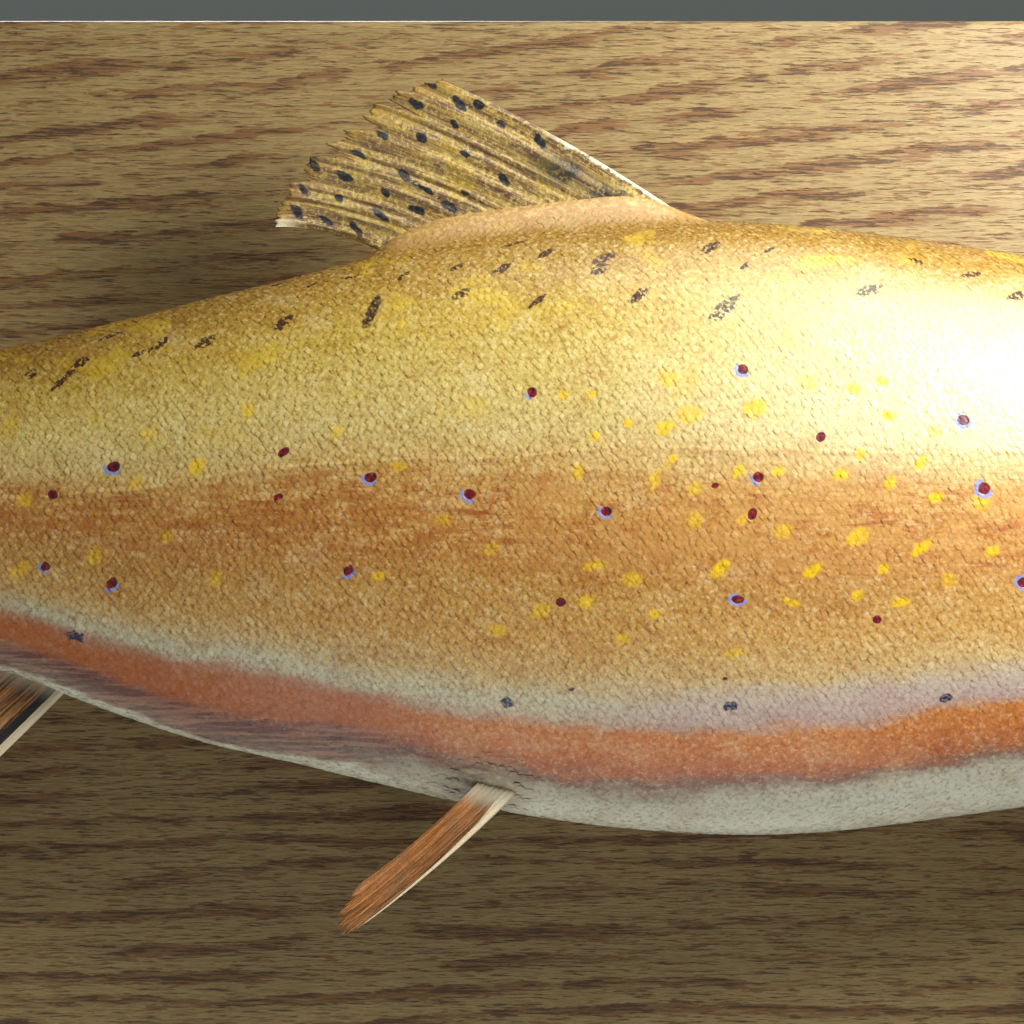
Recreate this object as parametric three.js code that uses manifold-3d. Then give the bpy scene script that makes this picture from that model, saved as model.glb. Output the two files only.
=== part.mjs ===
// A brook trout skin mount on an oak plaque, in millimetres.
// +X runs towards the snout, +Z is up, and -Y points out of the plaque towards the viewer.
// The origin is the centre of the plaque's back face, which lies against the wall.
import * as THREE from "three";
import { mergeVertices } from "three/addons/utils/BufferGeometryUtils.js";
import Module from "manifold-3d";

const wasm = await Module();
wasm.setup();

// Driving dimensions
const plaque = { length: 600, height: 200, thickness: 18, ease: 1.5 };
const gap = 0.3; // air left between neighbouring pieces
const fish = {
  tailX: -225,
  axisZ: 3.7, // height of the body's axis over the plaque's centre
  standOff: 33, // plaque face to the fish's own middle plane
  tailSwing: 12, // how far the tail's tip swings out towards the viewer
  swingFrom: -40,
  stalkX: -104, // where the trunk meets the tail stalk
};
const bodySegments = { along: 54, around: 26, snoutShare: 0.2 };
const foldSegments = { along: 20, around: 10 };
const foldDepth = 9; // from the fold's top to its middle, inside the back

// Body sections: x, height of the back, depth of the belly, half width. Heights are from the body's axis.
const sections = [
  [225, -0.6, -6.4, 2.6],
  [223.4, 3.6, -9.6, 6.0],
  [219, 8.4, -13.6, 9.4],
  [212, 13.4, -17.8, 12.6],
  [203, 18.6, -22.6, 15.4],
  [190, 25.0, -28.6, 18.6],
  [175, 31.4, -34.8, 21.8],
  [158, 37.4, -40.6, 24.6],
  [140, 42.4, -45.2, 26.6],
  [122, 46.4, -48.8, 28.0],
  [98, 50.6, -52.6, 29.0],
  [64, 54.8, -56.5, 28.8],
  [37, 55.8, -55.9, 27.8],
  [10, 53.6, -52.4, 25.6],
  [-8, 50.6, -48.4, 23.8],
  [-27, 45.6, -43.8, 21.4],
  [-45, 41.2, -39.6, 18.8],
  [-63, 36.6, -33.6, 16.0],
  [-81, 32.4, -26.8, 13.4],
  [-113, 26.6, -20.6, 9.8],
  [-140, 23.4, -18.8, 7.4],
  [-164, 24.6, -20.6, 4.9],
  [-176, 25.2, -21.4, 3.1],
  [-184, 24.8, -21.0, 1.8],
];
// The scaled fold of flesh at the foot of the dorsal fin: x, its top, half width.
const dorsalFold = [
  [50, 55.0, 1.2],
  [44, 57.2, 2.6],
  [38, 59.5, 3.4],
  [32, 60.6, 3.8],
  [21, 59.6, 4.0],
  [10, 58.2, 4.0],
  [-1, 56.4, 3.8],
  [-8.4, 53.6, 3.2],
  [-14, 49.6, 1.8],
];
const widestShare = 0.08; // the widest place lies this share of the depth above the middle
const backRound = 1.12; // over 1 narrows the back, under 1 squares it
const bellyRound = 0.96;
const heightRound = 0.98;

const gillEdge = [
  [151, 30],
  [141, 25],
  [134, 14],
  [131, 0],
  [133.5, -14],
  [141, -27],
  [153, -36],
  [172, -43.5],
];
const gillFront = [
  [158, 22],
  [154.5, 9],
  [154, -5],
  [157, -18],
  [165, -29.5],
];
const gillShell = 5; // thickness of a gill cover
const lidHeights = [-38, 22]; // a gill cover's lower and upper ends
const lidInner = 4; // from the middle plane to a gill cover's inner limit
const reachOut = { x: [-260, 300], y: 60, z: 90 }; // limits well outside the fish for the cutting slabs
const jawFront = [240, -50];
const mouthLine = [
  [232, -4.4],
  [224, -4.6],
  [212, -8.4],
  [198, -13.2],
  [184, -18.0],
  [172, -22.2],
];
const jawRear = [169, -60];
const eye = { x: 199, z: 9.2, radius: 7.8, depth: 5.8, proud: 1.2, segments: 18 };

// Fins: base ends and outward direction as [x, y, z] from the body's axis, ray angles from the base line in
// degrees, lengths of the first, middle and last ray, thickness at root and margin, sideways bow, how much the
// end rays are rounded off, and how far the rays arch away from the body.
const fins = {
  dorsal_fin: {
    front: [42.5, 0, 57],
    rear: [-11, 0, 49.5],
    out: [0, 0, 1],
    angles: [37, 21],
    lengths: [52, 42, 21.5],
    thick: [2.6, 0.7],
    bow: -2,
    rounded: 0.03,
    arch: 6,
  },
  adipose_fin: {
    front: [-103, 0, 25],
    rear: [-112, 0, 23.5],
    out: [0, 0, 1],
    angles: [46, 30],
    lengths: [17, 16.5, 12],
    thick: [3.2, 1.2],
    bow: 0,
    rounded: 0.25,
    arch: 2,
    columns: 6,
  },
  caudal_fin: {
    front: [-166, 0, 22.5],
    rear: [-166, 0, -18.7],
    out: [-1, 0, 0],
    angles: [117, 63],
    lengths: [66, 53, 65],
    thick: [3.6, 0.7],
    bow: -4,
    rounded: 0.07,
    arch: 0,
    columns: 16,
  },
  anal_fin: {
    front: [-66, 0, -27],
    rear: [-106, 0, -15.5],
    out: [0, 0, -1],
    angles: [60, 42],
    lengths: [55, 42, 26],
    thick: [2.8, 0.7],
    bow: -2,
    rounded: 0.06,
    arch: 3,
  },
  pelvic_fin_right: {
    front: [13.5, -9, -47.5],
    rear: [5.5, -10, -46.5],
    out: [0, -0.3, -1],
    angles: [47, 47],
    lengths: [42, 39.5, 32],
    thick: [3.0, 0.8],
    bow: -1,
    rounded: 0.1,
    arch: 4,
    columns: 7,
  },
  pelvic_fin_left: {
    front: [15, 9, -47.5],
    rear: [7, 10, -46.5],
    out: [0, 0.24, -1],
    angles: [49, 49],
    lengths: [42, 39.5, 32],
    thick: [3.0, 0.8],
    bow: 1,
    rounded: 0.1,
    arch: 4,
    columns: 7,
  },
  pectoral_fin_right: {
    front: [142, -15, -39],
    rear: [137, -18, -36],
    out: [0, -0.5, -1],
    angles: [106, 74],
    lengths: [63, 56, 30],
    thick: [3.4, 0.8],
    bow: 4,
    rounded: 0.06,
    arch: 0,
    columns: 12,
  },
  pectoral_fin_left: {
    front: [142, 15, -39],
    rear: [137, 17, -36],
    out: [0, 0, -1],
    angles: [112, 86],
    lengths: [62, 55, 30],
    thick: [3.4, 0.8],
    bow: -2,
    rounded: 0.06,
    arch: 0,
    columns: 12,
  },
};
const finEdgeShare = 0.55; // a fin's first and last rays are this share of its thickness
const block = { x: 24, z: 2, length: 84, height: 34 }; // the wooden pad between plaque and flank
const screws = {
  places: [-30, 30],
  headRadius: 4.6,
  headDepth: 3.6,
  shankRadius: 2.1,
  rimDepth: 0.6,
  length: 21.5,
  pointLength: 4,
  segments: 24,
};

const skinColour = new THREE.MeshStandardMaterial({ color: 0xd9a84e, roughness: 0.35, metalness: 0 });
const headColour = new THREE.MeshStandardMaterial({ color: 0x8f7a3c, roughness: 0.35, metalness: 0 });
const finColour = new THREE.MeshStandardMaterial({ color: 0xb98f46, roughness: 0.4, metalness: 0 });
const lowFinColour = new THREE.MeshStandardMaterial({ color: 0xc9682c, roughness: 0.4, metalness: 0 });
const glass = new THREE.MeshStandardMaterial({ color: 0x14110c, roughness: 0.05, metalness: 0 });
const oak = new THREE.MeshStandardMaterial({ color: 0xc9a368, roughness: 0.5, metalness: 0 });
const pine = new THREE.MeshStandardMaterial({ color: 0xd8bd8a, roughness: 0.7, metalness: 0 });
const steel = new THREE.MeshStandardMaterial({ color: 0xb8b8b4, roughness: 0.35, metalness: 1 });

const bodyY = -(plaque.thickness + fish.standOff);
const faceY = -plaque.thickness;

// A closed three.js geometry as a manifold solid.
function solidFrom(geometry) {
  const bare = geometry.clone();
  bare.deleteAttribute("normal");
  bare.deleteAttribute("uv");
  const merged = mergeVertices(bare, 1e-4);
  return new wasm.Manifold(
    new wasm.Mesh({
      numProp: 3,
      vertProperties: new Float32Array(merged.attributes.position.array),
      triVerts: new Uint32Array(merged.index.array),
    }),
  );
}

function geometryFrom(solid) {
  const mesh = solid.getMesh();
  const geometry = new THREE.BufferGeometry();
  geometry.setAttribute("position", new THREE.BufferAttribute(new Float32Array(mesh.vertProperties), 3));
  geometry.setIndex(new THREE.BufferAttribute(new Uint32Array(mesh.triVerts), 1));
  geometry.computeVertexNormals();
  return geometry;
}

// Joins rings of equal length into one closed surface, with a fan over each end.
function loft(rings) {
  const around = rings[0].length;
  const points = rings.flat();
  const middle = (ring) => ring.reduce((sum, p) => sum.add(p), new THREE.Vector3()).divideScalar(ring.length);
  const first = points.push(middle(rings[0])) - 1;
  const last = points.push(middle(rings[rings.length - 1])) - 1;
  const faces = [];
  for (let i = 0; i < rings.length - 1; i++)
    for (let j = 0; j < around; j++) {
      const a = i * around + j;
      const b = i * around + ((j + 1) % around);
      faces.push(a, b, b + around, a, b + around, a + around);
    }
  const lastRing = (rings.length - 1) * around;
  for (let j = 0; j < around; j++) {
    const next = (j + 1) % around;
    faces.push(first, next, j, last, lastRing + j, lastRing + next);
  }
  return new THREE.BufferGeometry().setFromPoints(points).setIndex(faces);
}

// Cubic through the rows of a table, read at x in its first column; the rows run from high x to low x.
function tableAt(rows, x, column) {
  let i = rows.findIndex((row, k) => k < rows.length - 1 && x >= rows[k + 1][0]);
  if (i < 0) i = rows.length - 2;
  const slope = (k) => {
    const a = rows[Math.max(k - 1, 0)];
    const b = rows[Math.min(k + 1, rows.length - 1)];
    return (b[column] - a[column]) / (b[0] - a[0]);
  };
  const [p, q] = [rows[i], rows[i + 1]];
  const run = q[0] - p[0];
  const t = (x - p[0]) / run;
  return (
    p[column] * (1 + 2 * t) * (1 - t) ** 2 +
    slope(i) * run * t * (1 - t) ** 2 +
    q[column] * t * t * (3 - 2 * t) +
    slope(i + 1) * run * t * t * (t - 1)
  );
}

const power = (value, exponent) => Math.sign(value) * Math.abs(value) ** exponent;

// The middle plane of the fish at x: it swings out behind the belly.
function middleY(x) {
  const t = THREE.MathUtils.clamp((fish.swingFrom - x) / (fish.swingFrom - fish.tailX), 0, 1);
  return bodyY - fish.tailSwing * t * t;
}

function bodyRing(x, inset) {
  const back = tableAt(sections, x, 1) - inset;
  const belly = tableAt(sections, x, 2) + inset;
  const half = Math.max(tableAt(sections, x, 3) - inset, 0.2);
  const widest = (back + belly) / 2 + widestShare * (back - belly);
  return Array.from({ length: bodySegments.around }, (_, j) => {
    const angle = (j / bodySegments.around) * 2 * Math.PI;
    const [c, s] = [Math.cos(angle), Math.sin(angle)];
    const round = s > 0 ? backRound : bellyRound;
    const reach = s > 0 ? back - widest : widest - belly;
    const height = widest + reach * power(s, heightRound);
    return new THREE.Vector3(x, middleY(x) - half * power(c, round), fish.axisZ + height);
  });
}

// The whole body, inset by so many millimetres (a negative inset is a skin laid over it).
function bodySolid(inset) {
  const from = sections[0][0] - Math.max(inset, 0);
  const to = sections[sections.length - 1][0] + Math.max(inset, 0);
  const rings = [];
  for (let i = 0; i <= bodySegments.along; i++) {
    const share = i / bodySegments.along;
    const { snoutShare } = bodySegments;
    const eased = share < snoutShare ? (share * (1 + share / snoutShare)) / 2 : share; // closer rings over the snout
    rings.push(bodyRing(from + (to - from) * eased, inset));
  }
  if (inset < 0) {
    rings.unshift(rings[0].map((p) => p.clone().setX(p.x - inset)));
    rings.push(rings[rings.length - 1].map((p) => p.clone().setX(p.x + inset)));
  }
  const hull = solidFrom(loft(rings));
  return inset > gap ? hull : hull.add(foldSolid(inset));
}

// The fold at the foot of the dorsal fin, as a low ridge sunk into the back.
function foldSolid(inset) {
  const rings = [];
  const [first, last] = [dorsalFold[0][0] - inset, dorsalFold[dorsalFold.length - 1][0] + inset];
  for (let i = 0; i <= foldSegments.along; i++) {
    const x = THREE.MathUtils.lerp(first, last, i / foldSegments.along);
    const top = tableAt(dorsalFold, x, 1) - inset;
    const half = tableAt(dorsalFold, x, 2) - inset;
    const ring = Array.from({ length: foldSegments.around }, (_, j) => {
      const angle = (j / foldSegments.around) * 2 * Math.PI;
      const height = top - foldDepth + foldDepth * Math.sin(angle);
      return new THREE.Vector3(x, middleY(x) - half * Math.cos(angle), fish.axisZ + height);
    });
    rings.push(ring);
  }
  return solidFrom(loft(rings));
}

// A slab with the given outline in X and Z, from y0 to y1.
function slab(outline, y0, y1) {
  const shape = new THREE.Shape(outline.map(([x, z]) => new THREE.Vector2(x, z + fish.axisZ)));
  const geometry = new THREE.ExtrudeGeometry(shape, { depth: y1 - y0, bevelEnabled: false });
  geometry.rotateX(Math.PI / 2);
  geometry.translate(0, y1, 0);
  return solidFrom(geometry);
}

const smooth = (points, count) =>
  new THREE.SplineCurve(points.map(([x, z]) => new THREE.Vector2(x, z))).getPoints(count).map((p) => [p.x, p.y]);
const shifted = (points, dx, dz) => points.map(([x, z]) => [x + dx, z + dz]);
const reversed = (points) => [...points].reverse();

// A fin: rays fan out from a straight base, and the plate thins towards its margin.
function finSolid({ front, rear, out, angles, lengths, thick, bow, rounded, arch, columns = 10, rows = 5 }) {
  const place = ([x, y, z]) => new THREE.Vector3(x, middleY(x) + y, fish.axisZ + z);
  const [start, end] = [place(front), place(rear)];
  const along = end.clone().sub(start).normalize();
  const outward = new THREE.Vector3(...out);
  outward.addScaledVector(along, -outward.dot(along)).normalize();
  const side = along.clone().cross(outward).normalize();
  const surface = (u, v) => {
    const angle = THREE.MathUtils.degToRad(THREE.MathUtils.lerp(angles[0], angles[1], u));
    const straight = lengths[0] * (1 - u) * (1 - 2 * u) + lengths[1] * 4 * u * (1 - u) + lengths[2] * u * (2 * u - 1);
    const reach = straight * (1 - rounded * Math.abs(2 * u - 1) ** 6);
    return start
      .clone()
      .lerp(end, u)
      .addScaledVector(along, Math.cos(angle) * reach * v)
      .addScaledVector(outward, Math.sin(angle) * reach * v + arch * v * (1 - v))
      .addScaledVector(side, bow * v * v * Math.sign(side.y || 1));
  };
  const rings = [];
  for (let i = 0; i <= rows; i++) {
    const v = i / rows;
    const half = THREE.MathUtils.lerp(thick[0], thick[1], Math.sqrt(v)) / 2;
    const near = [];
    const far = [];
    for (let j = 0; j <= columns; j++) {
      const u = j / columns;
      const share = j === 0 || j === columns ? finEdgeShare : 1;
      near.push(surface(u, v).addScaledVector(side, half * share));
      far.push(surface(u, v).addScaledVector(side, -half * share));
    }
    rings.push([...near, ...far.reverse()]);
  }
  const made = solidFrom(stripLoft(rings));
  return made.volume() < 0 ? solidFrom(stripLoft(rings.map((ring) => reversed(ring)))) : made;
}

// Like loft, but its flat ends are zipped across from side to side, as a thin plate needs.
function stripLoft(rings) {
  const around = rings[0].length;
  const points = rings.flat();
  const faces = [];
  for (let i = 0; i < rings.length - 1; i++)
    for (let j = 0; j < around; j++) {
      const a = i * around + j;
      const b = i * around + ((j + 1) % around);
      faces.push(a, b, b + around, a, b + around, a + around);
    }
  const lastRing = (rings.length - 1) * around;
  for (let j = 0; j < around / 2 - 1; j++) {
    const [a, b, c, d] = [j, j + 1, around - 2 - j, around - 1 - j];
    faces.push(a, d, c, a, c, b);
    faces.push(lastRing + a, lastRing + c, lastRing + d, lastRing + a, lastRing + b, lastRing + c);
  }
  return new THREE.BufferGeometry().setFromPoints(points).setIndex(faces);
}

function ellipsoid(radius, depth, segments) {
  const geometry = new THREE.SphereGeometry(1, segments, segments / 2);
  geometry.rotateX(Math.PI / 2);
  geometry.scale(radius, depth, radius);
  return geometry;
}

// A box with its four long edges eased, lying along X and against the plane y = 0.
function plaqueSolid() {
  const { length, height, thickness, ease } = plaque;
  const shape = new THREE.Shape([
    new THREE.Vector2(-length / 2 + ease, -height / 2 + ease),
    new THREE.Vector2(length / 2 - ease, -height / 2 + ease),
    new THREE.Vector2(length / 2 - ease, height / 2 - ease),
    new THREE.Vector2(-length / 2 + ease, height / 2 - ease),
  ]);
  const geometry = new THREE.ExtrudeGeometry(shape, {
    depth: thickness - 2 * ease,
    bevelEnabled: true,
    bevelThickness: ease,
    bevelSize: ease,
    bevelSegments: 3,
  });
  geometry.rotateX(Math.PI / 2);
  geometry.translate(0, -ease, 0);
  return solidFrom(geometry);
}

function screwGeometry(grow) {
  const { headRadius, headDepth, shankRadius, rimDepth, length, pointLength, segments } = screws;
  const profile = [
    [0, 0],
    [headRadius, 0],
    [headRadius, rimDepth],
    [shankRadius, headDepth],
    [shankRadius, length - pointLength],
    [0, length],
  ].map(([r, d]) => new THREE.Vector2(r ? r + grow : 0, d ? d + grow * Math.sign(d) : grow ? -1 : 0));
  const geometry = new THREE.LatheGeometry(profile, segments);
  geometry.rotateX(Math.PI);
  return geometry;
}

function cutEye(side) {
  const back = tableAt(sections, eye.x, 1);
  const belly = tableAt(sections, eye.x, 2);
  const widest = (back + belly) / 2 + widestShare * (back - belly);
  const rise = Math.asin((eye.z - widest) / (back - widest));
  const surfaceY = tableAt(sections, eye.x, 3) * Math.cos(rise) ** backRound;
  return new THREE.Vector3(eye.x, middleY(eye.x) + side * (surfaceY - eye.depth + eye.proud), fish.axisZ + eye.z);
}

function makeFish() {
  const made = new Map();
  const [yNear, yFar] = [bodyY - reachOut.y, bodyY + reachOut.y];
  const [xRear, xFront] = reachOut.x;
  const high = reachOut.z;
  const body = bodySolid(0);
  const wrapped = bodySolid(-gap);
  const core = bodySolid(gillShell);
  const edge = smooth(gillEdge, 18);

  const headOutline = [[xFront, high], [edge[0][0], high], ...edge, [edge[edge.length - 1][0], -high], [xFront, -high]];
  const rearEdge = shifted(edge, -gap, 0);
  const trunkOutline = [
    [fish.stalkX, high],
    [fish.stalkX, -high],
    [rearEdge[rearEdge.length - 1][0], -high],
    ...reversed(rearEdge),
    [rearEdge[0][0], high],
  ];
  const stalkOutline = [[xRear, high], [xRear, -high], [fish.stalkX - gap, -high], [fish.stalkX - gap, high]];

  const mouth = smooth(mouthLine, 10);
  const jawOutline = [...mouth, jawRear, jawFront];
  const jawRoom = [...shifted(mouth, -gap, gap), [jawRear[0] - gap, jawRear[1]], jawFront];

  const frontEdge = smooth(gillFront, 10);
  const lidRear = edge.filter(([, z]) => z > lidHeights[0] && z < lidHeights[1]);
  const lidOutline = [...frontEdge, ...reversed(lidRear)];
  const shellRoom = bodySolid(gillShell + gap);

  let head = body.intersect(slab(headOutline, yNear, yFar));
  made.set("lower_jaw", body.intersect(slab(jawOutline, yNear, yFar)));
  head = head.subtract(slab(jawRoom, yNear, yFar));
  for (const [name, y0, y1] of [
    ["gill_cover_right", yNear, bodyY - lidInner],
    ["gill_cover_left", bodyY + lidInner, yFar],
  ]) {
    const cover = body.intersect(slab(lidOutline, y0, y1)).subtract(core);
    made.set(name, cover);
    const room = wrapped.intersect(slab(grown(lidOutline, gap), y0 - gap, y1 + gap)).subtract(shellRoom);
    head = head.subtract(room);
  }
  for (const [name, side] of [
    ["eye_right", -1],
    ["eye_left", 1],
  ]) {
    const at = cutEye(side);
    const ball = ellipsoid(eye.radius, eye.depth, eye.segments).translate(at.x, at.y, at.z);
    const socket = ellipsoid(eye.radius + gap, eye.depth + gap, eye.segments).translate(at.x, at.y, at.z);
    made.set(name, solidFrom(ball));
    head = head.subtract(solidFrom(socket));
  }
  made.set("head", head);
  made.set("trunk", body.intersect(slab(trunkOutline, yNear, yFar)));
  made.set("tail_stalk", body.intersect(slab(stalkOutline, yNear, yFar)));
  for (const [name, sizes] of Object.entries(fins)) made.set(name, finSolid(sizes).subtract(wrapped));
  return { made, wrapped };
}

// A closed outline moved outwards by a distance, with mitred corners.
function grown(outline, distance) {
  const count = outline.length;
  const points = outline.map(([x, z]) => new THREE.Vector2(x, z));
  const turn = Math.sign(THREE.ShapeUtils.area(points));
  const normal = (from, to) => {
    const way = to.clone().sub(from).normalize();
    return new THREE.Vector2(turn * way.y, -turn * way.x);
  };
  return points.map((point, i) => {
    const before = normal(points[(i + count - 1) % count], point);
    const after = normal(point, points[(i + 1) % count]);
    const mitre = before.clone().add(after).divideScalar(1 + before.dot(after));
    return point.clone().addScaledVector(mitre, distance).toArray();
  });
}

const mount = new THREE.Group();
function add(name, solid, material) {
  const pieces = solid.decompose().sort((a, b) => b.volume() - a.volume());
  const mesh = new THREE.Mesh(geometryFrom(pieces[0]), material);
  mesh.name = name;
  mount.add(mesh);
}

const { made, wrapped } = makeFish();
for (const [name, solid] of made) {
  let material = skinColour;
  if (/head|jaw|gill/.test(name)) material = headColour;
  if (/dorsal|adipose|caudal/.test(name)) material = finColour;
  if (/anal|pelvic|pectoral/.test(name)) material = lowFinColour;
  if (/eye/.test(name)) material = glass;
  add(name, solid, material);
}

let plaqueBody = plaqueSolid();
const padShape = new THREE.BoxGeometry(block.length, fish.standOff - gap, block.height);
padShape.translate(block.x, faceY - gap - (fish.standOff - gap) / 2, fish.axisZ + block.z);
let pad = solidFrom(padShape).subtract(wrapped);
screws.places.forEach((dx, i) => {
  const place = [block.x + dx, 0, fish.axisZ + block.z];
  plaqueBody = plaqueBody.subtract(solidFrom(screwGeometry(gap).translate(...place)));
  pad = pad.subtract(solidFrom(screwGeometry(gap).translate(...place)));
  add(`fixing_screw_${i + 1}`, solidFrom(screwGeometry(0).translate(...place)), steel);
});
add("mounting_block", pad, pine);
add("plaque", plaqueBody, oak);

export default mount;
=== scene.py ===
import bpy
import numpy as np
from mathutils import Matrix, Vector


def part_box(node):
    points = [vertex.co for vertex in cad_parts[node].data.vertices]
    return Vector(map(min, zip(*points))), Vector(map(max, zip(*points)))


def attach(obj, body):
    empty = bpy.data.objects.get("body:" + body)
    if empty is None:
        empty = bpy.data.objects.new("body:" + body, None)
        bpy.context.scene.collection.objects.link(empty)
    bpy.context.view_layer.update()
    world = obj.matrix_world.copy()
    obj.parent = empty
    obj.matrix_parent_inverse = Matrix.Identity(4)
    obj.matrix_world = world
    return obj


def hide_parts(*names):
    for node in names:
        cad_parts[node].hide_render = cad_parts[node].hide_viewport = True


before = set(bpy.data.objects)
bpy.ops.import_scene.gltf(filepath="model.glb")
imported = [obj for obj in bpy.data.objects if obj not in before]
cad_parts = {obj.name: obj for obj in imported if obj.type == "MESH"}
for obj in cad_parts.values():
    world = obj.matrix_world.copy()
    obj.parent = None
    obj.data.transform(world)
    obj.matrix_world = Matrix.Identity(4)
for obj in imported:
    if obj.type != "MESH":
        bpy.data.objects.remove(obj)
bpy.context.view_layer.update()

mm = 0.001  # shapes are worked out in millimetres and put into the meshes in metres
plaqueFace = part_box("plaque")[0][1] / mm
chance = np.random.default_rng(21)


def ease(value, low, high):
    # 0 below low, 1 above high, and 3t^2 - 2t^3 between them
    t = np.clip((value - low) / (high - low), 0, 1)
    return t * t * (3 - 2 * t)


def bump(value, width):
    # a bell: e to the minus (value / width) squared
    return np.exp(-((value / width) ** 2))


def power(value, exponent):
    # the power of the size, with the sign kept
    return np.sign(value) * np.abs(value) ** exponent


def tableAt(rows, x, column=1):
    # a cubic through the rows, which run from high to low in their first column; each slope spans two rows
    rows = np.asarray(rows, float)
    knots, values = rows[:, 0], rows[:, column]
    last = len(knots) - 1
    before = np.maximum(np.arange(last + 1) - 1, 0)
    after = np.minimum(np.arange(last + 1) + 1, last)
    slopes = (values[after] - values[before]) / (knots[after] - knots[before])
    x = np.clip(x, knots[-1], knots[0])
    i = np.clip(np.searchsorted(-knots, -x, side="right") - 1, 0, last - 1)
    run = knots[i + 1] - knots[i]
    t = (x - knots[i]) / run
    start = values[i] * (1 + 2 * t) * (1 - t) ** 2 + slopes[i] * run * t * (1 - t) ** 2
    end = values[i + 1] * t * t * (3 - 2 * t) + slopes[i + 1] * run * t * t * (t - 1)
    return start + end


def unit(vectors):
    return vectors / np.maximum(np.linalg.norm(vectors, axis=-1, keepdims=True), 1e-9)


def gridQuads(rows, columns, wrap=False):
    # one quad for each cell of a grid whose points are numbered row by row
    i, j = np.meshgrid(np.arange(rows - 1), np.arange(columns if wrap else columns - 1), indexing="ij")
    i, j = i.ravel(), j.ravel()
    k = (j + 1) % columns
    return np.stack([i * columns + j, i * columns + k, (i + 1) * columns + k, (i + 1) * columns + j], 1)


def tubeFaces(n, m):
    # n rings of m points, with a fan to one more point at each end
    k = np.arange(m)
    first = np.stack([np.full(m, n * m), (k + 1) % m, k], 1)
    last = np.stack([np.full(m, n * m + 1), (n - 1) * m + k, (n - 1) * m + (k + 1) % m], 1)
    return [gridQuads(n, m, wrap=True), first, last]


def makePiece(name, points, faces, material):
    # faces is a list of arrays of corners, each array holding faces of one size
    mesh = bpy.data.meshes.new(name)
    corners = np.concatenate([f.ravel() for f in faces]).astype(np.int32)
    sizes = np.concatenate([np.full(len(f), f.shape[1]) for f in faces])
    starts = np.concatenate([[0], np.cumsum(sizes)[:-1]]).astype(np.int32)
    mesh.vertices.add(len(points))
    mesh.vertices.foreach_set("co", (np.asarray(points) * mm).astype(np.float32).ravel())
    mesh.loops.add(len(corners))
    mesh.loops.foreach_set("vertex_index", corners)
    mesh.polygons.add(len(sizes))
    mesh.polygons.foreach_set("loop_start", starts)
    mesh.polygons.foreach_set("use_smooth", np.full(len(sizes), True))
    mesh.update(calc_edges=True)
    mesh.materials.append(material)
    piece = bpy.data.objects.new(name, mesh)
    bpy.context.scene.collection.objects.link(piece)
    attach(piece, "root")
    return piece


def addValues(piece, name, values):
    # one number or one set of four numbers for each point, for the materials to read
    kind, key = ("FLOAT", "value") if values.ndim == 1 else ("FLOAT_COLOR", "color")
    layer = piece.data.attributes.new(name, kind, "POINT")
    layer.data.foreach_set(key, values.astype(np.float32).ravel())


def addMap(piece, name, places):
    # a UV map from one place for each point
    corners = np.empty(len(piece.data.loops), np.int32)
    piece.data.loops.foreach_get("vertex_index", corners)
    layer = piece.data.uv_layers.new(name=name)
    layer.data.foreach_set("uv", places[corners].astype(np.float32).ravel())


def rgb(red, green, blue):
    # screen colour out of 255 to linear light
    c = np.array([red, green, blue]) / 255
    linear = np.where(c < 0.04045, c / 12.92, ((c + 0.055) / 1.055) ** 2.4)
    return (*linear.tolist(), 1.0)


def plug(tree, socket, value):
    if isinstance(value, bpy.types.NodeSocket):
        tree.links.new(value, socket)
    elif value is not None:
        socket.default_value = value


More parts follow.
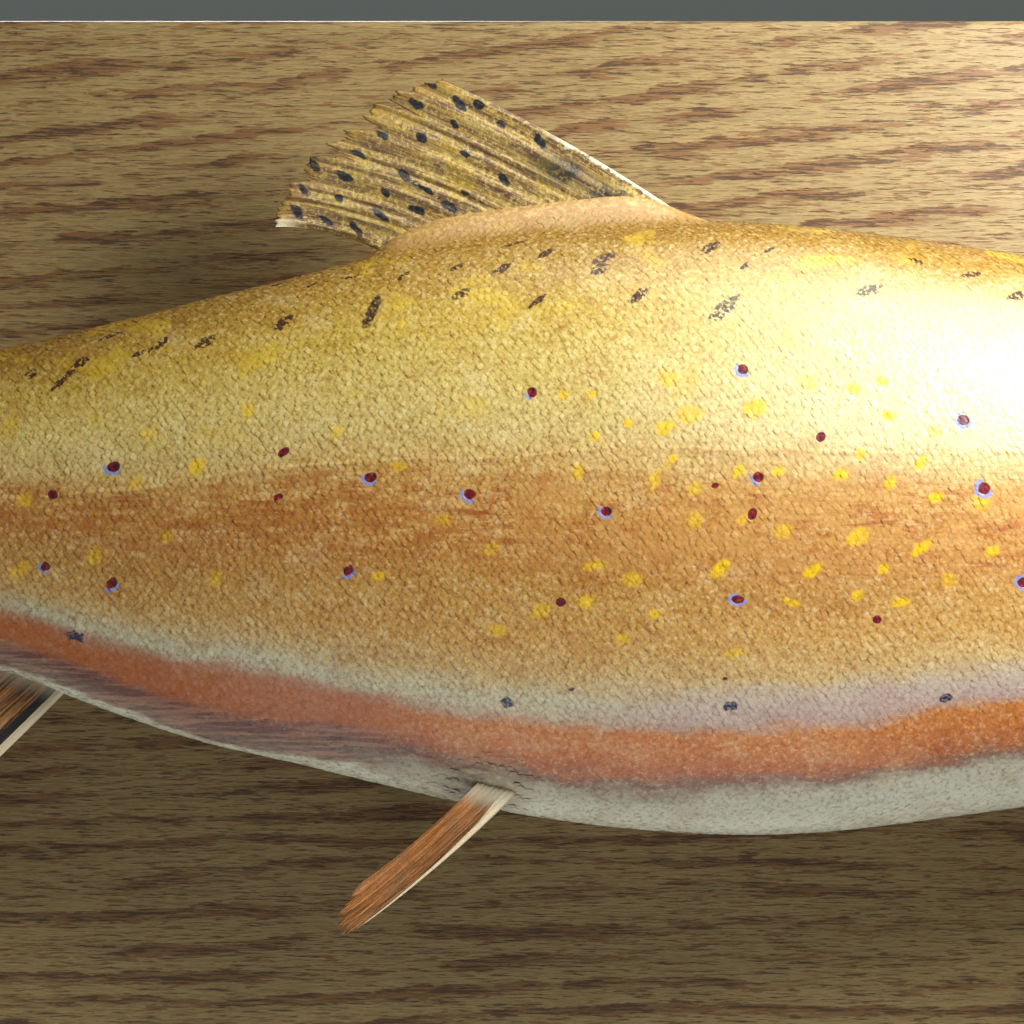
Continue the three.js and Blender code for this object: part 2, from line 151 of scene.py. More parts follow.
class Painter:
    # adds shader nodes to one tree, and keeps the colour laid so far
    def __init__(self, tree, colour=None):
        self.tree = tree
        self.colour = colour
        self.place = self.node("TexCoord", out=3)

    def node(self, kind, *values, out=0, **settings):
        # node("Math", a, b, operation="ADD") adds a node, fills its inputs in order and returns one output
        made = self.tree.nodes.new("ShaderNode" + kind)
        for key, value in settings.items():
            setattr(made, key, value)
        for socket, value in zip(made.inputs, values):
            plug(self.tree, socket, value)
        return made.outputs[out]

    def axes(self, place):
        return self.node("SeparateXYZ", place).node.outputs

    def value(self, name):
        return self.node("Attribute", attribute_name=name, out=2)

    def maths(self, operation, *values):
        return self.node("Math", *values, operation=operation)

    def plus(self, first, second):
        return self.maths("ADD", first, second)

    def times(self, first, *others):
        for other in others:
            first = self.maths("MULTIPLY", first, other)
        return first

    def between(self, value, low, high, start=0.0, end=1.0):
        # a smooth step from start to end as the value goes from low to high
        return self.node("MapRange", value, low, high, start, end, interpolation_type="SMOOTHSTEP")

    def spread(self, value, noise, width):
        # the value moved up and down by the noise, over that width
        return self.plus(value, self.maths("MULTIPLY_ADD", noise, width, -width / 2))

    def stretched(self, scales, place=None):
        # the place with each axis scaled by so many features for each metre
        return self.node("VectorMath", place or self.place, scales, operation="MULTIPLY")

    def cloud(self, scale, detail=3, roughness=0.5, place=None):
        # noise with so many features for each metre, one number for all axes or one for each
        if isinstance(scale, tuple):
            place, scale = self.stretched(scale, place), 1
        return self.node("TexNoise", place or self.place, None, scale, detail, roughness)

    def mixed(self, share, first, second, mode="MIX"):
        made = self.tree.nodes.new("ShaderNodeMix")
        made.data_type = "RGBA"
        made.blend_type = mode
        for index, value in ((0, share), (6, first), (7, second)):
            plug(self.tree, made.inputs[index], value)
        return made.outputs[2]

    def ramp(self, share, stops, way="LINEAR"):
        # stops is a list of (place, colour)
        made = self.node("ValToRGB", share).node
        made.color_ramp.interpolation = way
        elements = made.color_ramp.elements
        while len(elements) < len(stops):
            elements.new(0.5)
        for element, (place, colour) in zip(elements, sorted(stops)):
            element.position = place
            element.color = colour
        return made.outputs[0]

    def lay(self, share, colour, most=1, mode="MIX"):
        # one more colour over those before it, no stronger than most
        share = share if most == 1 else self.times(share, most)
        self.colour = self.mixed(share, self.colour, colour, mode)

    def stain(self, share, colour):
        self.lay(share, colour, mode="MULTIPLY")

    def mottle(self, *rows):
        # a colour where a noise passes a level; a row is the noise, two levels, the strength and the colour
        for noise, low, high, most, colour in rows:
            self.lay(self.between(noise, low, high, 0, most), rgb(*colour))

    def finish(self, roughness, height=None, strength=0.5, depth=0.0002):
        # colour, roughness and bumps go into the material's shader
        shader = self.tree.nodes["Principled BSDF"]
        plug(self.tree, shader.inputs["Base Color"], self.colour)
        plug(self.tree, shader.inputs["Roughness"], roughness)
        if height is not None:
            bumps = self.node("Bump", strength, depth).node
            plug(self.tree, bumps.inputs["Height"], height)
            plug(self.tree, shader.inputs["Normal"], bumps.outputs[0])


def newMaterial(name, look):
    # look holds the principled shader's own fixed values
    material = bpy.data.materials.new(name)
    material.use_nodes = True
    for key, value in look.items():
        material.node_tree.nodes["Principled BSDF"].inputs[key].default_value = value
    return material, Painter(material.node_tree)


view = {"lens": 135, "distance": 700, "x": 12, "z": 6.1, "focus": plaqueFace - 33}
camera = bpy.data.objects.new("camera", bpy.data.cameras.new("camera"))
camera.data.lens = view["lens"]
camera.data.clip_start = 0.01
camera.location = np.array([view["x"], view["focus"] - view["distance"], view["z"]]) * mm
camera.rotation_euler = (np.pi / 2, 0, 0)
bpy.context.scene.collection.objects.link(camera)
bpy.context.scene.camera = camera
print("camera placed")


body = {
    "axisZ": 3.7,
    "middleY": plaqueFace - 33,
    "tailSwing": 12,
    "swingFrom": -40,
    "tailX": -225,
    "widestShare": 0.08,
    "backRound": 1.12,
    "bellyRound": 0.96,
    "upRound": 0.98,
    "scaleDepth": 0.35,  # the skin lies this far under the solids, as deep as the scales
    "noseCap": 2.6,  # the last stretch of the snout, which rounds off to a point
    "tailFoot": -166,  # where the tail fin's foot is
    "tailCurve": 9,  # how far the flesh reaches over the tail fin at mid height beyond where it stops above
    "foldWidth": 3.4,  # half width of the scaled fold at the foot of the dorsal fin
    "columns": (22, 178, 266),  # rings over the nose, over the head, and behind it
    "headEnd": 126,
    "pelvicPatch": (7, -47.2),  # middle of the bare skin at the pelvic fins' bases
    "rows": 212,
}
# x, height of the back, depth of the belly, half width
sections = [
    (225, -0.6, -6.4, 2.6),
    (223.4, 3.6, -9.6, 6.0),
    (219, 8.4, -13.6, 9.4),
    (212, 13.4, -17.8, 12.6),
    (203, 18.6, -22.6, 15.4),
    (190, 25.0, -28.6, 18.6),
    (175, 31.4, -34.8, 21.8),
    (158, 37.4, -40.6, 24.6),
    (140, 42.4, -45.2, 26.6),
    (122, 46.4, -48.8, 28.0),
    (98, 50.6, -52.6, 29.0),
    (64, 54.8, -56.5, 28.8),
    (37, 55.8, -55.9, 27.8),
    (10, 53.6, -52.4, 25.6),
    (-8, 50.6, -48.4, 23.8),
    (-27, 45.6, -43.8, 21.4),
    (-45, 41.2, -39.6, 18.8),
    (-63, 36.6, -33.6, 16.0),
    (-81, 32.4, -26.8, 13.4),
    (-113, 26.6, -20.6, 9.8),
    (-140, 23.4, -18.8, 7.4),
    (-164, 24.6, -20.6, 4.7),
    (-176, 25.0, -21.2, 2.4),
    (-184, 24.4, -20.6, 0.4),
]
# x and top of the scaled fold at the foot of the dorsal fin
dorsalFold = [
    (50, 55.0), (44, 57.2), (38, 59.5), (32, 60.6), (21, 59.6), (10, 58.2), (-1, 56.4), (-8.4, 53.6),
    (-14, 49.6),
]


def middleY(x):
    # the fish's middle plane, which swings out as the square of the way to the tail's tip
    t = np.clip((body["swingFrom"] - x) / (body["swingFrom"] - body["tailX"]), 0, 1)
    return body["middleY"] - body["tailSwing"] * t * t


def bodySection(x):
    # back, belly and half width at x, closed to a point over the snout's last stretch as a quarter circle
    back, belly, half = (tableAt(sections, x, column) for column in (1, 2, 3))
    t = np.clip((x - (sections[0][0] - body["noseCap"])) / body["noseCap"], 0, 1)
    cap = np.sqrt(np.maximum(1 - t * t, 1e-6))
    middle = (back + belly) / 2
    return middle + (back - middle) * cap, middle + (belly - middle) * cap, half * cap


def bodyPoint(x, turn):
    # a ring at x: half width times a power of the cosine across, reach times a power of the sine up and down;
    # the fold at the dorsal fin's foot is a bell on the back; near the tail fin the flesh thins out sooner
    # above and below, by the square of the sine, and settles on that fin's middle, so it ends in a curve
    back, belly, half = bodySection(x)
    widest = (back + belly) / 2 + body["widestShare"] * (back - belly)
    c, s = np.cos(turn), np.sin(turn)
    thinner = tableAt(sections, x - body["tailCurve"] * s * s * ease(-x, 156, 174), 3)
    half = np.where(x < -156, thinner, half)
    foot = body["tailFoot"]
    settled = 0.8 * (middleY(foot) - middleY(x)) * ease(-x, -foot, 10 - foot)
    reach = np.where(s > 0, back - widest, widest - belly)
    across = half * power(c, np.where(s > 0, body["backRound"], body["bellyRound"]))
    inside = (x < dorsalFold[0][0]) & (x > dorsalFold[-1][0]) & (s > 0)
    fold = np.where(inside, np.maximum(tableAt(dorsalFold, x) - back, 0), 0) * bump(across, body["foldWidth"])
    z = body["axisZ"] + widest + reach * power(s, body["upRound"]) + fold
    return np.stack([x + 0 * turn, middleY(x) + settled - across, z], -1)


def bodyFrame(x, turn):
    # the surface point, the way to the tail, the way round, and the outward normal from small steps
    here = bodyPoint(x, turn)
    tailward = unit(bodyPoint(x - 0.4, turn) - bodyPoint(x + 0.4, turn))
    around = unit(bodyPoint(x, turn + 0.01) - bodyPoint(x, turn - 0.01))
    outward = unit(np.cross(around, tailward))
    return here, tailward, around, outward


arcStep = 2.0
arcX = np.arange(-186, 227, arcStep)
arcTurn = np.linspace(-np.pi / 2, np.pi / 2, 241)


def arcTable():
    # arc length round the near flank from its widest place, for each x of arcX and each turn of arcTurn
    x, turn = np.meshgrid(arcX, arcTurn, indexing="ij")
    steps = np.linalg.norm(np.diff(bodyPoint(x, turn), axis=1), axis=2)
    length = np.concatenate([np.zeros((len(arcX), 1)), np.cumsum(steps, 1)], 1)
    return length - length[:, [len(arcTurn) // 2]]


arcLength = arcTable()


def girthAt(x, turn):
    # arc length at any x and turn, two-way linear in the table
    i = np.clip((x - arcX[0]) / arcStep, 0, len(arcX) - 1.001)
    j = np.clip((turn + np.pi / 2) / (arcTurn[1] - arcTurn[0]), 0, len(arcTurn) - 1.001)
    a, b = i.astype(int), j.astype(int)
    s, t = i - a, j - b
    low = arcLength[a, b] * (1 - t) + arcLength[a, b + 1] * t
    high = arcLength[a + 1, b] * (1 - t) + arcLength[a + 1, b + 1] * t
    return low * (1 - s) + high * s


def turnAt(x, girth):
    # the turn whose arc length is girth: the table's lines are laid end to end, to be read at once
    i = np.clip(np.round((x - arcX[0]) / arcStep).astype(int), 0, len(arcX) - 1)
    far = 1000.0 * np.arange(len(arcX))
    return np.interp(girth + far[i], (arcLength + far[:, None]).ravel(), np.tile(arcTurn, len(arcX)))


def flankGirth(x, z):
    # arc length of the place on the flank at height z over the axis
    back, belly, half = bodySection(x)
    widest = (back + belly) / 2 + body["widestShare"] * (back - belly)
    reach = np.where(z > widest, back - widest, widest - belly)
    return girthAt(x, np.arcsin(np.clip(power((z - widest) / reach, 1 / body["upRound"]), -1, 1)))


head = {
    "eye": (199, 9.2),
    "eyeRadius": 7.3,
    "socketDepth": 3.8,
    "coverRise": 1.5,
    "slitDepth": 1.3,
    "lipGroove": 1.2,
    "jawWidest": 4.8,
    "nostrils": ((212.6, 10.6), (209.8, 11.6)),
    "mouthCorner": 169,
    "jawRound": 177,  # the upper jaw's plate rounds off behind here
    "throatRay": 2.6,  # pitch of the rays under the gill cover
    "wrinkle": 2.3,  # pitch of the wrinkles at the pelvic fins' bases
}
gillEdge = [
    (44, 166), (37, 160), (30, 151), (25, 141), (14, 134), (0, 131), (-14, 133.5), (-27, 141), (-36, 153),
    (-43.5, 172),
]
cheekEdge = [(24, 160), (9, 154.5), (-5, 154), (-18, 157), (-29.5, 165), (-38, 180)]
mouthLine = [(232, -4.4), (224, -4.6), (212, -8.4), (198, -13.2), (184, -18.0), (172, -22.2), (160, -26)]


def headward(x, z):
    # distance in front of the gill opening's edge, negative behind it
    slope = tableAt(gillEdge, z + 0.5) - tableAt(gillEdge, z - 0.5)
    return (x - tableAt(gillEdge, z)) / np.sqrt(1 + slope**2)


def headRelief(x, z, across):
    # how far the skin stands out, and how much painted shade darkens its grooves: plates are steps with eased
    # edges, grooves and pits are bells, and wrinkles and throat rays are cosines
    ahead = headward(x, z)
    onHead = ease(ahead, -0.1, 0.5)
    open_ = ease(z, 33, 27)
    slit = open_ * bump(ahead + 0.7, 0.8)
    relief = -(body["scaleDepth"] + open_ * head["coverRise"] * ease(-ahead, 16, 0)) * (1 - onHead)
    relief = relief - head["slitDepth"] * slit - onHead * 0.5 * ease(ahead, 1, 16)
    cheek = x - tableAt(cheekEdge, z)
    plate = ease(z, 24, 18) * ease(z, -38, -32)
    relief = relief - plate * (0.55 * bump(cheek, 0.8) + 0.35 * ease(cheek, -0.5, 0.8) * ease(cheek, 14, 2))
    seam = 0.7 * bump(z + 14 - (x - 134) * 0.42, 1.0) * ease(x, 134, 137) * ease(x, 156, 152) * onHead
    above = (z - tableAt(mouthLine, x)) * 0.94
    corner, rounded = head["mouthCorner"], head["jawRound"]
    gape = ease(x, corner, corner + 3.5)
    mouth = bump(above, 0.6) * gape
    relief = relief - 0.6 * seam - head["lipGroove"] * mouth
    relief = relief - 0.8 * ease(-above, 0, 0.9) * ease(-above, 12, 1) * gape
    tail = np.clip((rounded - x) / 7.5, 0, 1)
    width = head["jawWidest"] * np.sqrt(1 - tail * tail) - np.maximum(x - rounded, 0) * 0.103
    jaw = ease(above, 0.1, 0.6) * ease(above, width + 0.3, width - 0.3) * ease(x, corner + 0.2, corner + 1.6)
    jawGroove = bump(above - width - 0.5, 0.7) * ease(x, corner, corner + 5) * ease(x, 214, 206)
    relief = relief + 0.75 * jaw * ease(x, 219, 210) - 0.3 * jawGroove
    ex, ez = head["eye"]
    r = np.hypot(x - ex, z - ez)
    rim = r - head["eyeRadius"]
    relief = relief - head["socketDepth"] * ease(rim, 0.45, -0.45)
    relief = relief + 0.45 * bump(rim - 0.9, 0.8) - 0.4 * bump(r - 12.4, 1.1) * ease(z, 12, 4)
    pits = sum(bump(np.hypot(x - nx, (z - nz) * 1.2), 0.85) for nx, nz in head["nostrils"])
    rays = ease(z, -27, -33) * ease(ahead, 0.5, 3) * ease(ahead, 15, 12) * onHead
    relief = relief - 1.1 * pits + 0.35 * rays * (np.cos(ahead * 2 * np.pi / head["throatRay"]) - 0.6)
    keel = bump(across, 1.6) * ease(z, -10, -16) * ease(x, 168, 176) * ease(x, 218, 208)
    phase = (z + 0.28 * x) * 2 * np.pi / head["wrinkle"] + 0.6 * np.sin(x)
    ruck = np.cos(phase) * bareAt(x, z, across) * (z < 0)
    # painted shade: slit, mouth, seams, plate edges, nostrils, jaw groove, eye rim and throat rays are
    # darkened
    creaseShading = slit + 0.8 * mouth + 0.55 * seam + 0.5 * plate * bump(cheek, 0.7) + pits + 0.4 * jawGroove
    creaseShading = creaseShading + 0.7 * bump(rim - 0.1, 0.5) + 0.3 * rays
    return relief - 0.9 * keel + 0.28 * ruck, np.clip(creaseShading, 0, 1)


def bareAt(x, z, across):
    # 1 where the skin has no scales: bells round the dorsal fin's foot and the bases of the pelvic fins
    back = bodySection(x)[0]
    foot = bump(across, 4.6) * ease(x, -15, -7) * ease(x, 53, 46) * ease(z, back - 5, back - 2)
    px, pz = body["pelvicPatch"]
    pelvic = bump(x - px, 8.5) * bump(z - pz, 6)
    return np.clip(1.6 * (foot + pelvic) - 0.3, 0, 1)


# painted marks: each row is x, height over the axis, half length and half width, tilt in degrees and kind
redDots = [
    (-59, 10.5, 1.2, 0.95, 20, 0.6), (-70, 5.5, 0.95, 0.85, 0, 0), (-28.5, 13, 1.15, 0.7, 30, 0),
    (-13, 8.5, 1.1, 0.9, 10, 0.6), (4.5, 5.5, 1.05, 0.95, 0, 0.6), (15.5, 23.5, 0.9, 0.95, 0, 0.3),
    (52.5, 27.5, 0.95, 0.95, 0, 0.7), (91, 18.5, 1.1, 1.0, 0, 1), (66, 15.5, 1.0, 0.8, 60, 0),
    (94.5, 6.5, 1.1, 1.1, 0, 0.9), (55, 8.5, 0.95, 0.95, 0, 0.4), (54, 2, 1.1, 0.8, 70, 0),
    (28.5, 2.5, 1.0, 0.85, 0, 0.7), (-29.5, 5, 0.9, 0.6, 20, 0), (-71.5, -7.5, 0.85, 0.8, 0, 0.6),
    (-59.5, -10.5, 1.15, 0.9, 60, 0.5), (-17, -8, 1.0, 0.85, 60, 0.6), (20.5, -13.5, 0.9, 0.8, 0, 0),
    (51.5, -13, 1.1, 0.75, 0, 1), (76, -16.5, 0.8, 0.75, 0, 0), (101.5, -10, 1.0, 0.9, 0, 1),
    (47.5, 7, 0.7, 0.5, 20, 0),
]
yellowDabs = [
    (38.5, 17, 1.6, 1.3, 0, 1), (43, 19.5, 2.6, 1.8, 10, 0.7), (54.5, 20.5, 2.4, 1.9, 20, 0.9),
    (39.5, 26, 2.0, 1.7, 0, 0.6), (64, 25, 1.6, 1.6, 50, 0.5), (72, 24, 1.3, 1.2, 0, 0.9),
    (86, 16.5, 1.5, 1.1, 30, 0.7), (23.5, 9.5, 1.7, 1.1, 70, 0.7), (51.5, 9.5, 1.5, 0.9, 50, 0.9),
    (58.5, 9.5, 1.3, 1.0, 20, 0.9), (37, 8, 1.9, 1.2, 65, 0.6), (44, 6.5, 1.4, 1.1, 60, 0.7),
    (78, 7.5, 1.7, 1.0, 65, 0.9), (83.5, 11, 1.8, 0.9, 45, 1), (86, 5, 1.5, 1.0, 20, 1),
    (94, 4, 1.7, 1.4, 0, 0.8), (44, 1, 1.7, 1.4, 70, 0.6), (59.5, -1, 1.8, 1.4, 30, 0.6),
    (72.5, -2, 2.4, 1.4, 30, 0.9), (83.5, -4, 2.4, 1.0, 38, 1), (96, -4.5, 1.4, 1.0, 30, 0.9),
    (26.5, -7, 2.3, 1.0, 10, 0.7), (33, -9.5, 1.9, 1.4, 10, 0.7), (48.5, -7.5, 2.3, 1.2, 48, 1),
    (64.5, -8, 2.2, 1.1, 38, 1), (88.5, -9.5, 1.4, 1.5, 0, 0.6), (80, -13.5, 1.9, 0.9, 15, 1),
    (61, -13.5, 1.9, 0.7, -15, 1), (25, -13.5, 1.6, 1.4, 0, 0.8), (17, -15, 2.0, 1.3, 30, 0.7),
    (51, -22.5, 1.8, 0.9, 10, 0.8), (31.5, -20, 1.4, 1.0, 10, 0.8), (-35, 20.5, 1.2, 1.6, 0, 0.8),
    (-19, 16.5, 1.7, 1.1, 60, 0.6), (-53, 16.5, 1.8, 1.1, 10, 0.5), (-44, 10.5, 1.9, 1.5, 40, 0.9),
    (-55, 7.5, 2.0, 1.2, 30, 0.6), (-75, 4.5, 1.6, 1.5, 0, 0.6), (-49.5, -2, 1.4, 1.3, 0, 0.5),
    (-62.5, -5.5, 2.2, 1.3, 60, 0.6), (-76, -8, 2.6, 1.2, 40, 0.6), (-40.5, -9.5, 1.8, 1.1, 80, 0.6),
    (0, 1, 1.6, 1.2, 0, 0.5), (-11.5, -9, 1.4, 0.9, 20, 0.8), (8.5, -4, 1.8, 1.1, 40, 0.5),
    (9.5, -18.5, 1.7, 1.2, 10, 0.7), (-8, 10.5, 1.5, 1.0, 0, 0.7), (21, 23, 1.0, 0.9, 0, 0.9),
    (26, 23.2, 0.9, 0.8, 0, 0.9), (26.5, 15.8, 1.2, 1.0, 20, 0.9), (32.3, 18, 0.9, 0.9, 0, 1),
    (77, 25.5, 1.1, 1.2, 60, 1), (78, 19.4, 1.0, 1.3, 70, 1), (73, 12.5, 1.0, 1.0, 0, 0.9),
    (69.5, 9, 1.6, 1.2, 30, 0.9), (40, 11.5, 1.1, 0.8, 60, 0.9), (52.5, 1.2, 1.5, 0.9, 50, 0.6),
    (37, -15.6, 1.3, 0.9, 10, 0.9), (72.5, -12.3, 1.2, 1.0, 40, 1), (77, -7.6, 1.2, 0.9, 40, 1),
]
# the last number is the colour: 0 black, 0.5 navy, 1 brown
darkStrokes = [
    (-29, 36.5, 2.6, 1.1, 42, 0), (-43, 33, 2.3, 1.1, 35, 0), (-51, 33, 1.9, 0.9, 55, 0),
    (-55, 31, 1.8, 0.5, 28, 0), (-65.5, 29.5, 2.2, 0.9, 35, 0), (-69, 26, 2.8, 0.6, 48, 0),
    (-60.5, 34.5, 2.4, 0.5, 25, 0), (-74.5, 27.5, 1.6, 0.9, 40, 0), (-30.5, 44, 1.6, 0.4, 20, 0),
    (-24.5, 43.5, 1.8, 0.4, 20, 0), (-17, 45, 1.6, 0.5, 20, 0), (-13, 38.5, 4.4, 1.1, 72, 0.8),
    (-7.5, 45, 1.8, 0.7, 55, 0), (2, 46.5, 1.5, 0.8, 40, 0), (3, 41.5, 2.0, 0.9, 40, 0),
    (12.5, 51, 2.4, 0.5, 25, 0), (10, 46, 2.4, 0.9, 40, 0), (18, 49, 2.2, 0.8, 40, 0),
    (16.5, 40, 2.4, 0.6, 42, 0), (28.5, 48, 2.8, 1.1, 30, 0), (27.5, 45.5, 1.8, 0.8, 20, 0),
    (34.5, 41, 2.5, 1.0, 45, 0), (47.5, 50, 2.7, 1.1, 50, 0), (49.5, 38.5, 4.0, 1.5, 45, 0.3),
    (53.5, 46.5, 1.6, 0.5, 50, 0), (58, 49.5, 1.6, 0.5, 40, 0), (75.5, 42, 3.0, 1.3, 30, 0.3),
    (84.5, 47.5, 1.6, 0.9, -40, 0), (94, 45, 2.2, 0.9, 20, 0), (102, 41, 2.2, 1.3, 20, 0),
    (-66.5, -20, 1.9, 1.0, -12, 0.5), (11, -31.5, 1.2, 1.1, 0, 0.5), (50.5, -32, 1.5, 1.0, 15, 0.5),
    (88.5, -30.5, 1.2, 0.9, 20, 0.5), (22.5, -29, 0.6, 0.4, 20, 1), (49.5, -27, 0.6, 0.4, 20, 1),
]
scatter = {
    # for dots, dabs and strokes: how many, lowest and highest share of the section, half lengths, kinds, tilt
    "rows": [
        (26, 0.3, 0.76, (0.9, 1.2), (0, 0.6, 1), 10),
        (62, 0.28, 0.8, (1.2, 2.3), (0.6, 0.8, 1), 35),
        (44, 0.82, 0.98, (1.6, 2.8), (0, 0, 0.3), 38),
    ],
    "farShare": 1.7,  # the far flank has this many times as many, as none are listed there
    "seenFrom": -84,  # the listed marks cover the near flank between these two places
    "seenTo": 106,
    "nearest": 6.0,
    "ends": (-172, 146),
}
markReach = 5  # marks fade from the point values beyond this many times their own size


def scatteredMarks(count, low, high, sizes, kinds, side, tilt):
    # marks at random over the rest of that flank, each height a share of the section there; one that falls
    # too near another is dropped
    x = chance.uniform(*scatter["ends"], count * 3)
    share = chance.uniform(low, high, len(x))
    size = chance.uniform(*sizes, len(x))
    wide = size * chance.uniform(0.5, 0.9, len(x))
    tilts = chance.normal(tilt, 14, len(x))
    kind = chance.choice(kinds, len(x))
    back, belly, half = bodySection(x)
    z = belly + share * (back - belly)
    unseen = (side < 0) | (x < scatter["seenFrom"]) | (x > scatter["seenTo"])
    found = []
    for row in zip(*(v[unseen] for v in (x, z, size, wide, tilts, kind))):
        gaps = [np.hypot(row[0] - a[0], row[1] - a[1]) for a in found]
        if len(found) < count and min(gaps, default=99) > scatter["nearest"]:
            found.append(row)
    return found


def nearestMark(x, girth, marks, centre=None):
    # for each point the place within its nearest mark, in half lengths and half widths, then the mark's kind
    # and how near it is; a shader that measures from these draws every mark crisply on any mesh
    marks = np.array(marks)
    centre = flankGirth(marks[:, 0], marks[:, 1]) if centre is None else centre
    best = np.full(len(x), 9.0)
    found = np.tile(np.array([9.0, 9.0, 0.0, 0.0]), (len(x), 1))
    for (mx, mz, long, wide, tilt, kind), mg in zip(marks, centre):
        dx, dg = x - mx, girth - mg
        c, s = np.cos(np.radians(tilt)), np.sin(np.radians(tilt))
        p, q = (dx * c + dg * s) / long, (dg * c - dx * s) / wide
        r = np.hypot(p, q)
        closer = r < best
        best = np.where(closer, r, best)
        row = np.stack([p, q, np.full(len(x), kind), np.clip(1 - r / markReach, 0, 1)], 1)
        found = np.where(closer[:, None], row, found)
    return found


marksOf = {}
for side, listed in ((1, (redDots, yellowDabs, darkStrokes)), (-1, ([], [], []))):
    more = 1 if side > 0 else scatter["farShare"]
    marksOf[side] = [
        rows + scatteredMarks(int(count * more), *ranges, side, tilt)
        for rows, (count, *ranges, tilt) in zip(listed, scatter["rows"])
    ]


# x and height over the axis of the lateral line
lateralLine = [
    (160, 17), (130, 14.5), (101, 13.3), (79, 13), (28, 13.8), (13, 12.2), (-8, 11.9), (-36, 9.7),
    (-58, 6.4), (-113, 3.5), (-184, 2),
]


def addPaintValues(piece, points, x, near, girth):
    # what the paint reads: height on the section, distance before the gill opening and over the lateral line,
    # bareness, and the nearest marks
    back, belly, half = bodySection(x)
    z = points[:, 2] - body["axisZ"]
    height = (z - belly) / np.maximum(back - belly, 0.5)
    lift = 0.05 * ease(x, 20, 105) * ease(height, 0.45, 0.3)
    addValues(piece, "paintHeight", np.clip(height - lift, 0, 1))
    addValues(piece, "headward", headward(x, z))
    addValues(piece, "overLine", z - tableAt(lateralLine, x))
    addValues(piece, "bareness", bareAt(x, z, points[:, 1] - middleY(x)))
    for index, name in enumerate(("redDots", "yellowDabs", "darkStrokes")):
        found = np.zeros((len(x), 4))
        for side, here in ((1, near), (-1, ~near)):
            found[here] = nearestMark(x[here], girth[here], marksOf[side][index])
        addValues(piece, name, found)


def markIn(p, name, rough, reach=1.4):
    # the nearest mark's kind, the distance from its middle in its own sizes with a ragged edge, how far the
    # point lies to its lower left, and a mask that shuts out places beyond its reach
    found = p.node("Attribute", attribute_name=name)
    along, across, kind = p.node("SeparateColor", found).node.outputs
    r = p.node("VectorMath", p.node("CombineXYZ", along, across), operation="LENGTH", out=1)
    lean = p.maths("DIVIDE", p.plus(along, across), p.times(r, -1.6))
    near = p.between(found.node.outputs[3], 0.94 - reach / markReach, 1 - reach / markReach)
    return kind, p.spread(r, p.cloud(900, 2), rough), lean, near


paint = {
    "flank": [
        (1, rgb(150, 112, 36)),
        (0.93, rgb(168, 134, 46)),
        (0.85, rgb(188, 160, 64)),
        (0.75, rgb(200, 178, 100)),
        (0.66, rgb(202, 180, 112)),
        (0.61, rgb(200, 168, 98)),
        (0.57, rgb(194, 150, 78)),
        (0.5, rgb(184, 126, 52)),
        (0.45, rgb(184, 128, 56)),
        (0.38, rgb(190, 144, 70)),
        (0.3, rgb(200, 156, 82)),
        (0.25, rgb(202, 170, 108)),
        (0.205, rgb(198, 192, 160)),
        (0.175, rgb(190, 166, 140)),
        (0.15, rgb(204, 118, 28)),
        (0.12, rgb(204, 112, 14)),
        (0.09, rgb(190, 98, 28)),
        (0.07, rgb(138, 98, 80)),
        (0.05, rgb(202, 202, 180)),
        (0, rgb(222, 226, 208)),
    ],
    "head": [
        (1, rgb(58, 52, 26)),
        (0.85, rgb(86, 74, 34)),
        (0.72, rgb(124, 106, 50)),
        (0.55, rgb(158, 130, 68)),
        (0.42, rgb(160, 120, 62)),
        (0.3, rgb(156, 100, 54)),
        (0.17, rgb(160, 116, 86)),
        (0.06, rgb(164, 150, 128)),
        (0, rgb(166, 160, 142)),
    ],
    "paintedLight": rgb(120, 96, 70),
    "streak": rgb(160, 92, 34),
    "tailShade": rgb(196, 176, 150),
    "violet": rgb(178, 142, 158),
    "bareTop": rgb(188, 146, 84),
    "bareLow": rgb(150, 130, 104),
    "linePale": rgb(226, 196, 128),
    "red": rgb(118, 16, 24),
    "halo": rgb(132, 148, 206),
    "yellow": rgb(230, 188, 8),
    "paintedHighlight": rgb(224, 222, 190),
    "plum": rgb(94, 48, 44),
    "plumPale": rgb(160, 108, 82),
    "rootDark": rgb(128, 102, 54),
    "rootPale": rgb(164, 138, 76),
    "inks": [(0, rgb(68, 36, 12)), (0.2, rgb(88, 82, 66)), (0.42, rgb(24, 26, 66)), (0.7, rgb(66, 42, 24))],
}

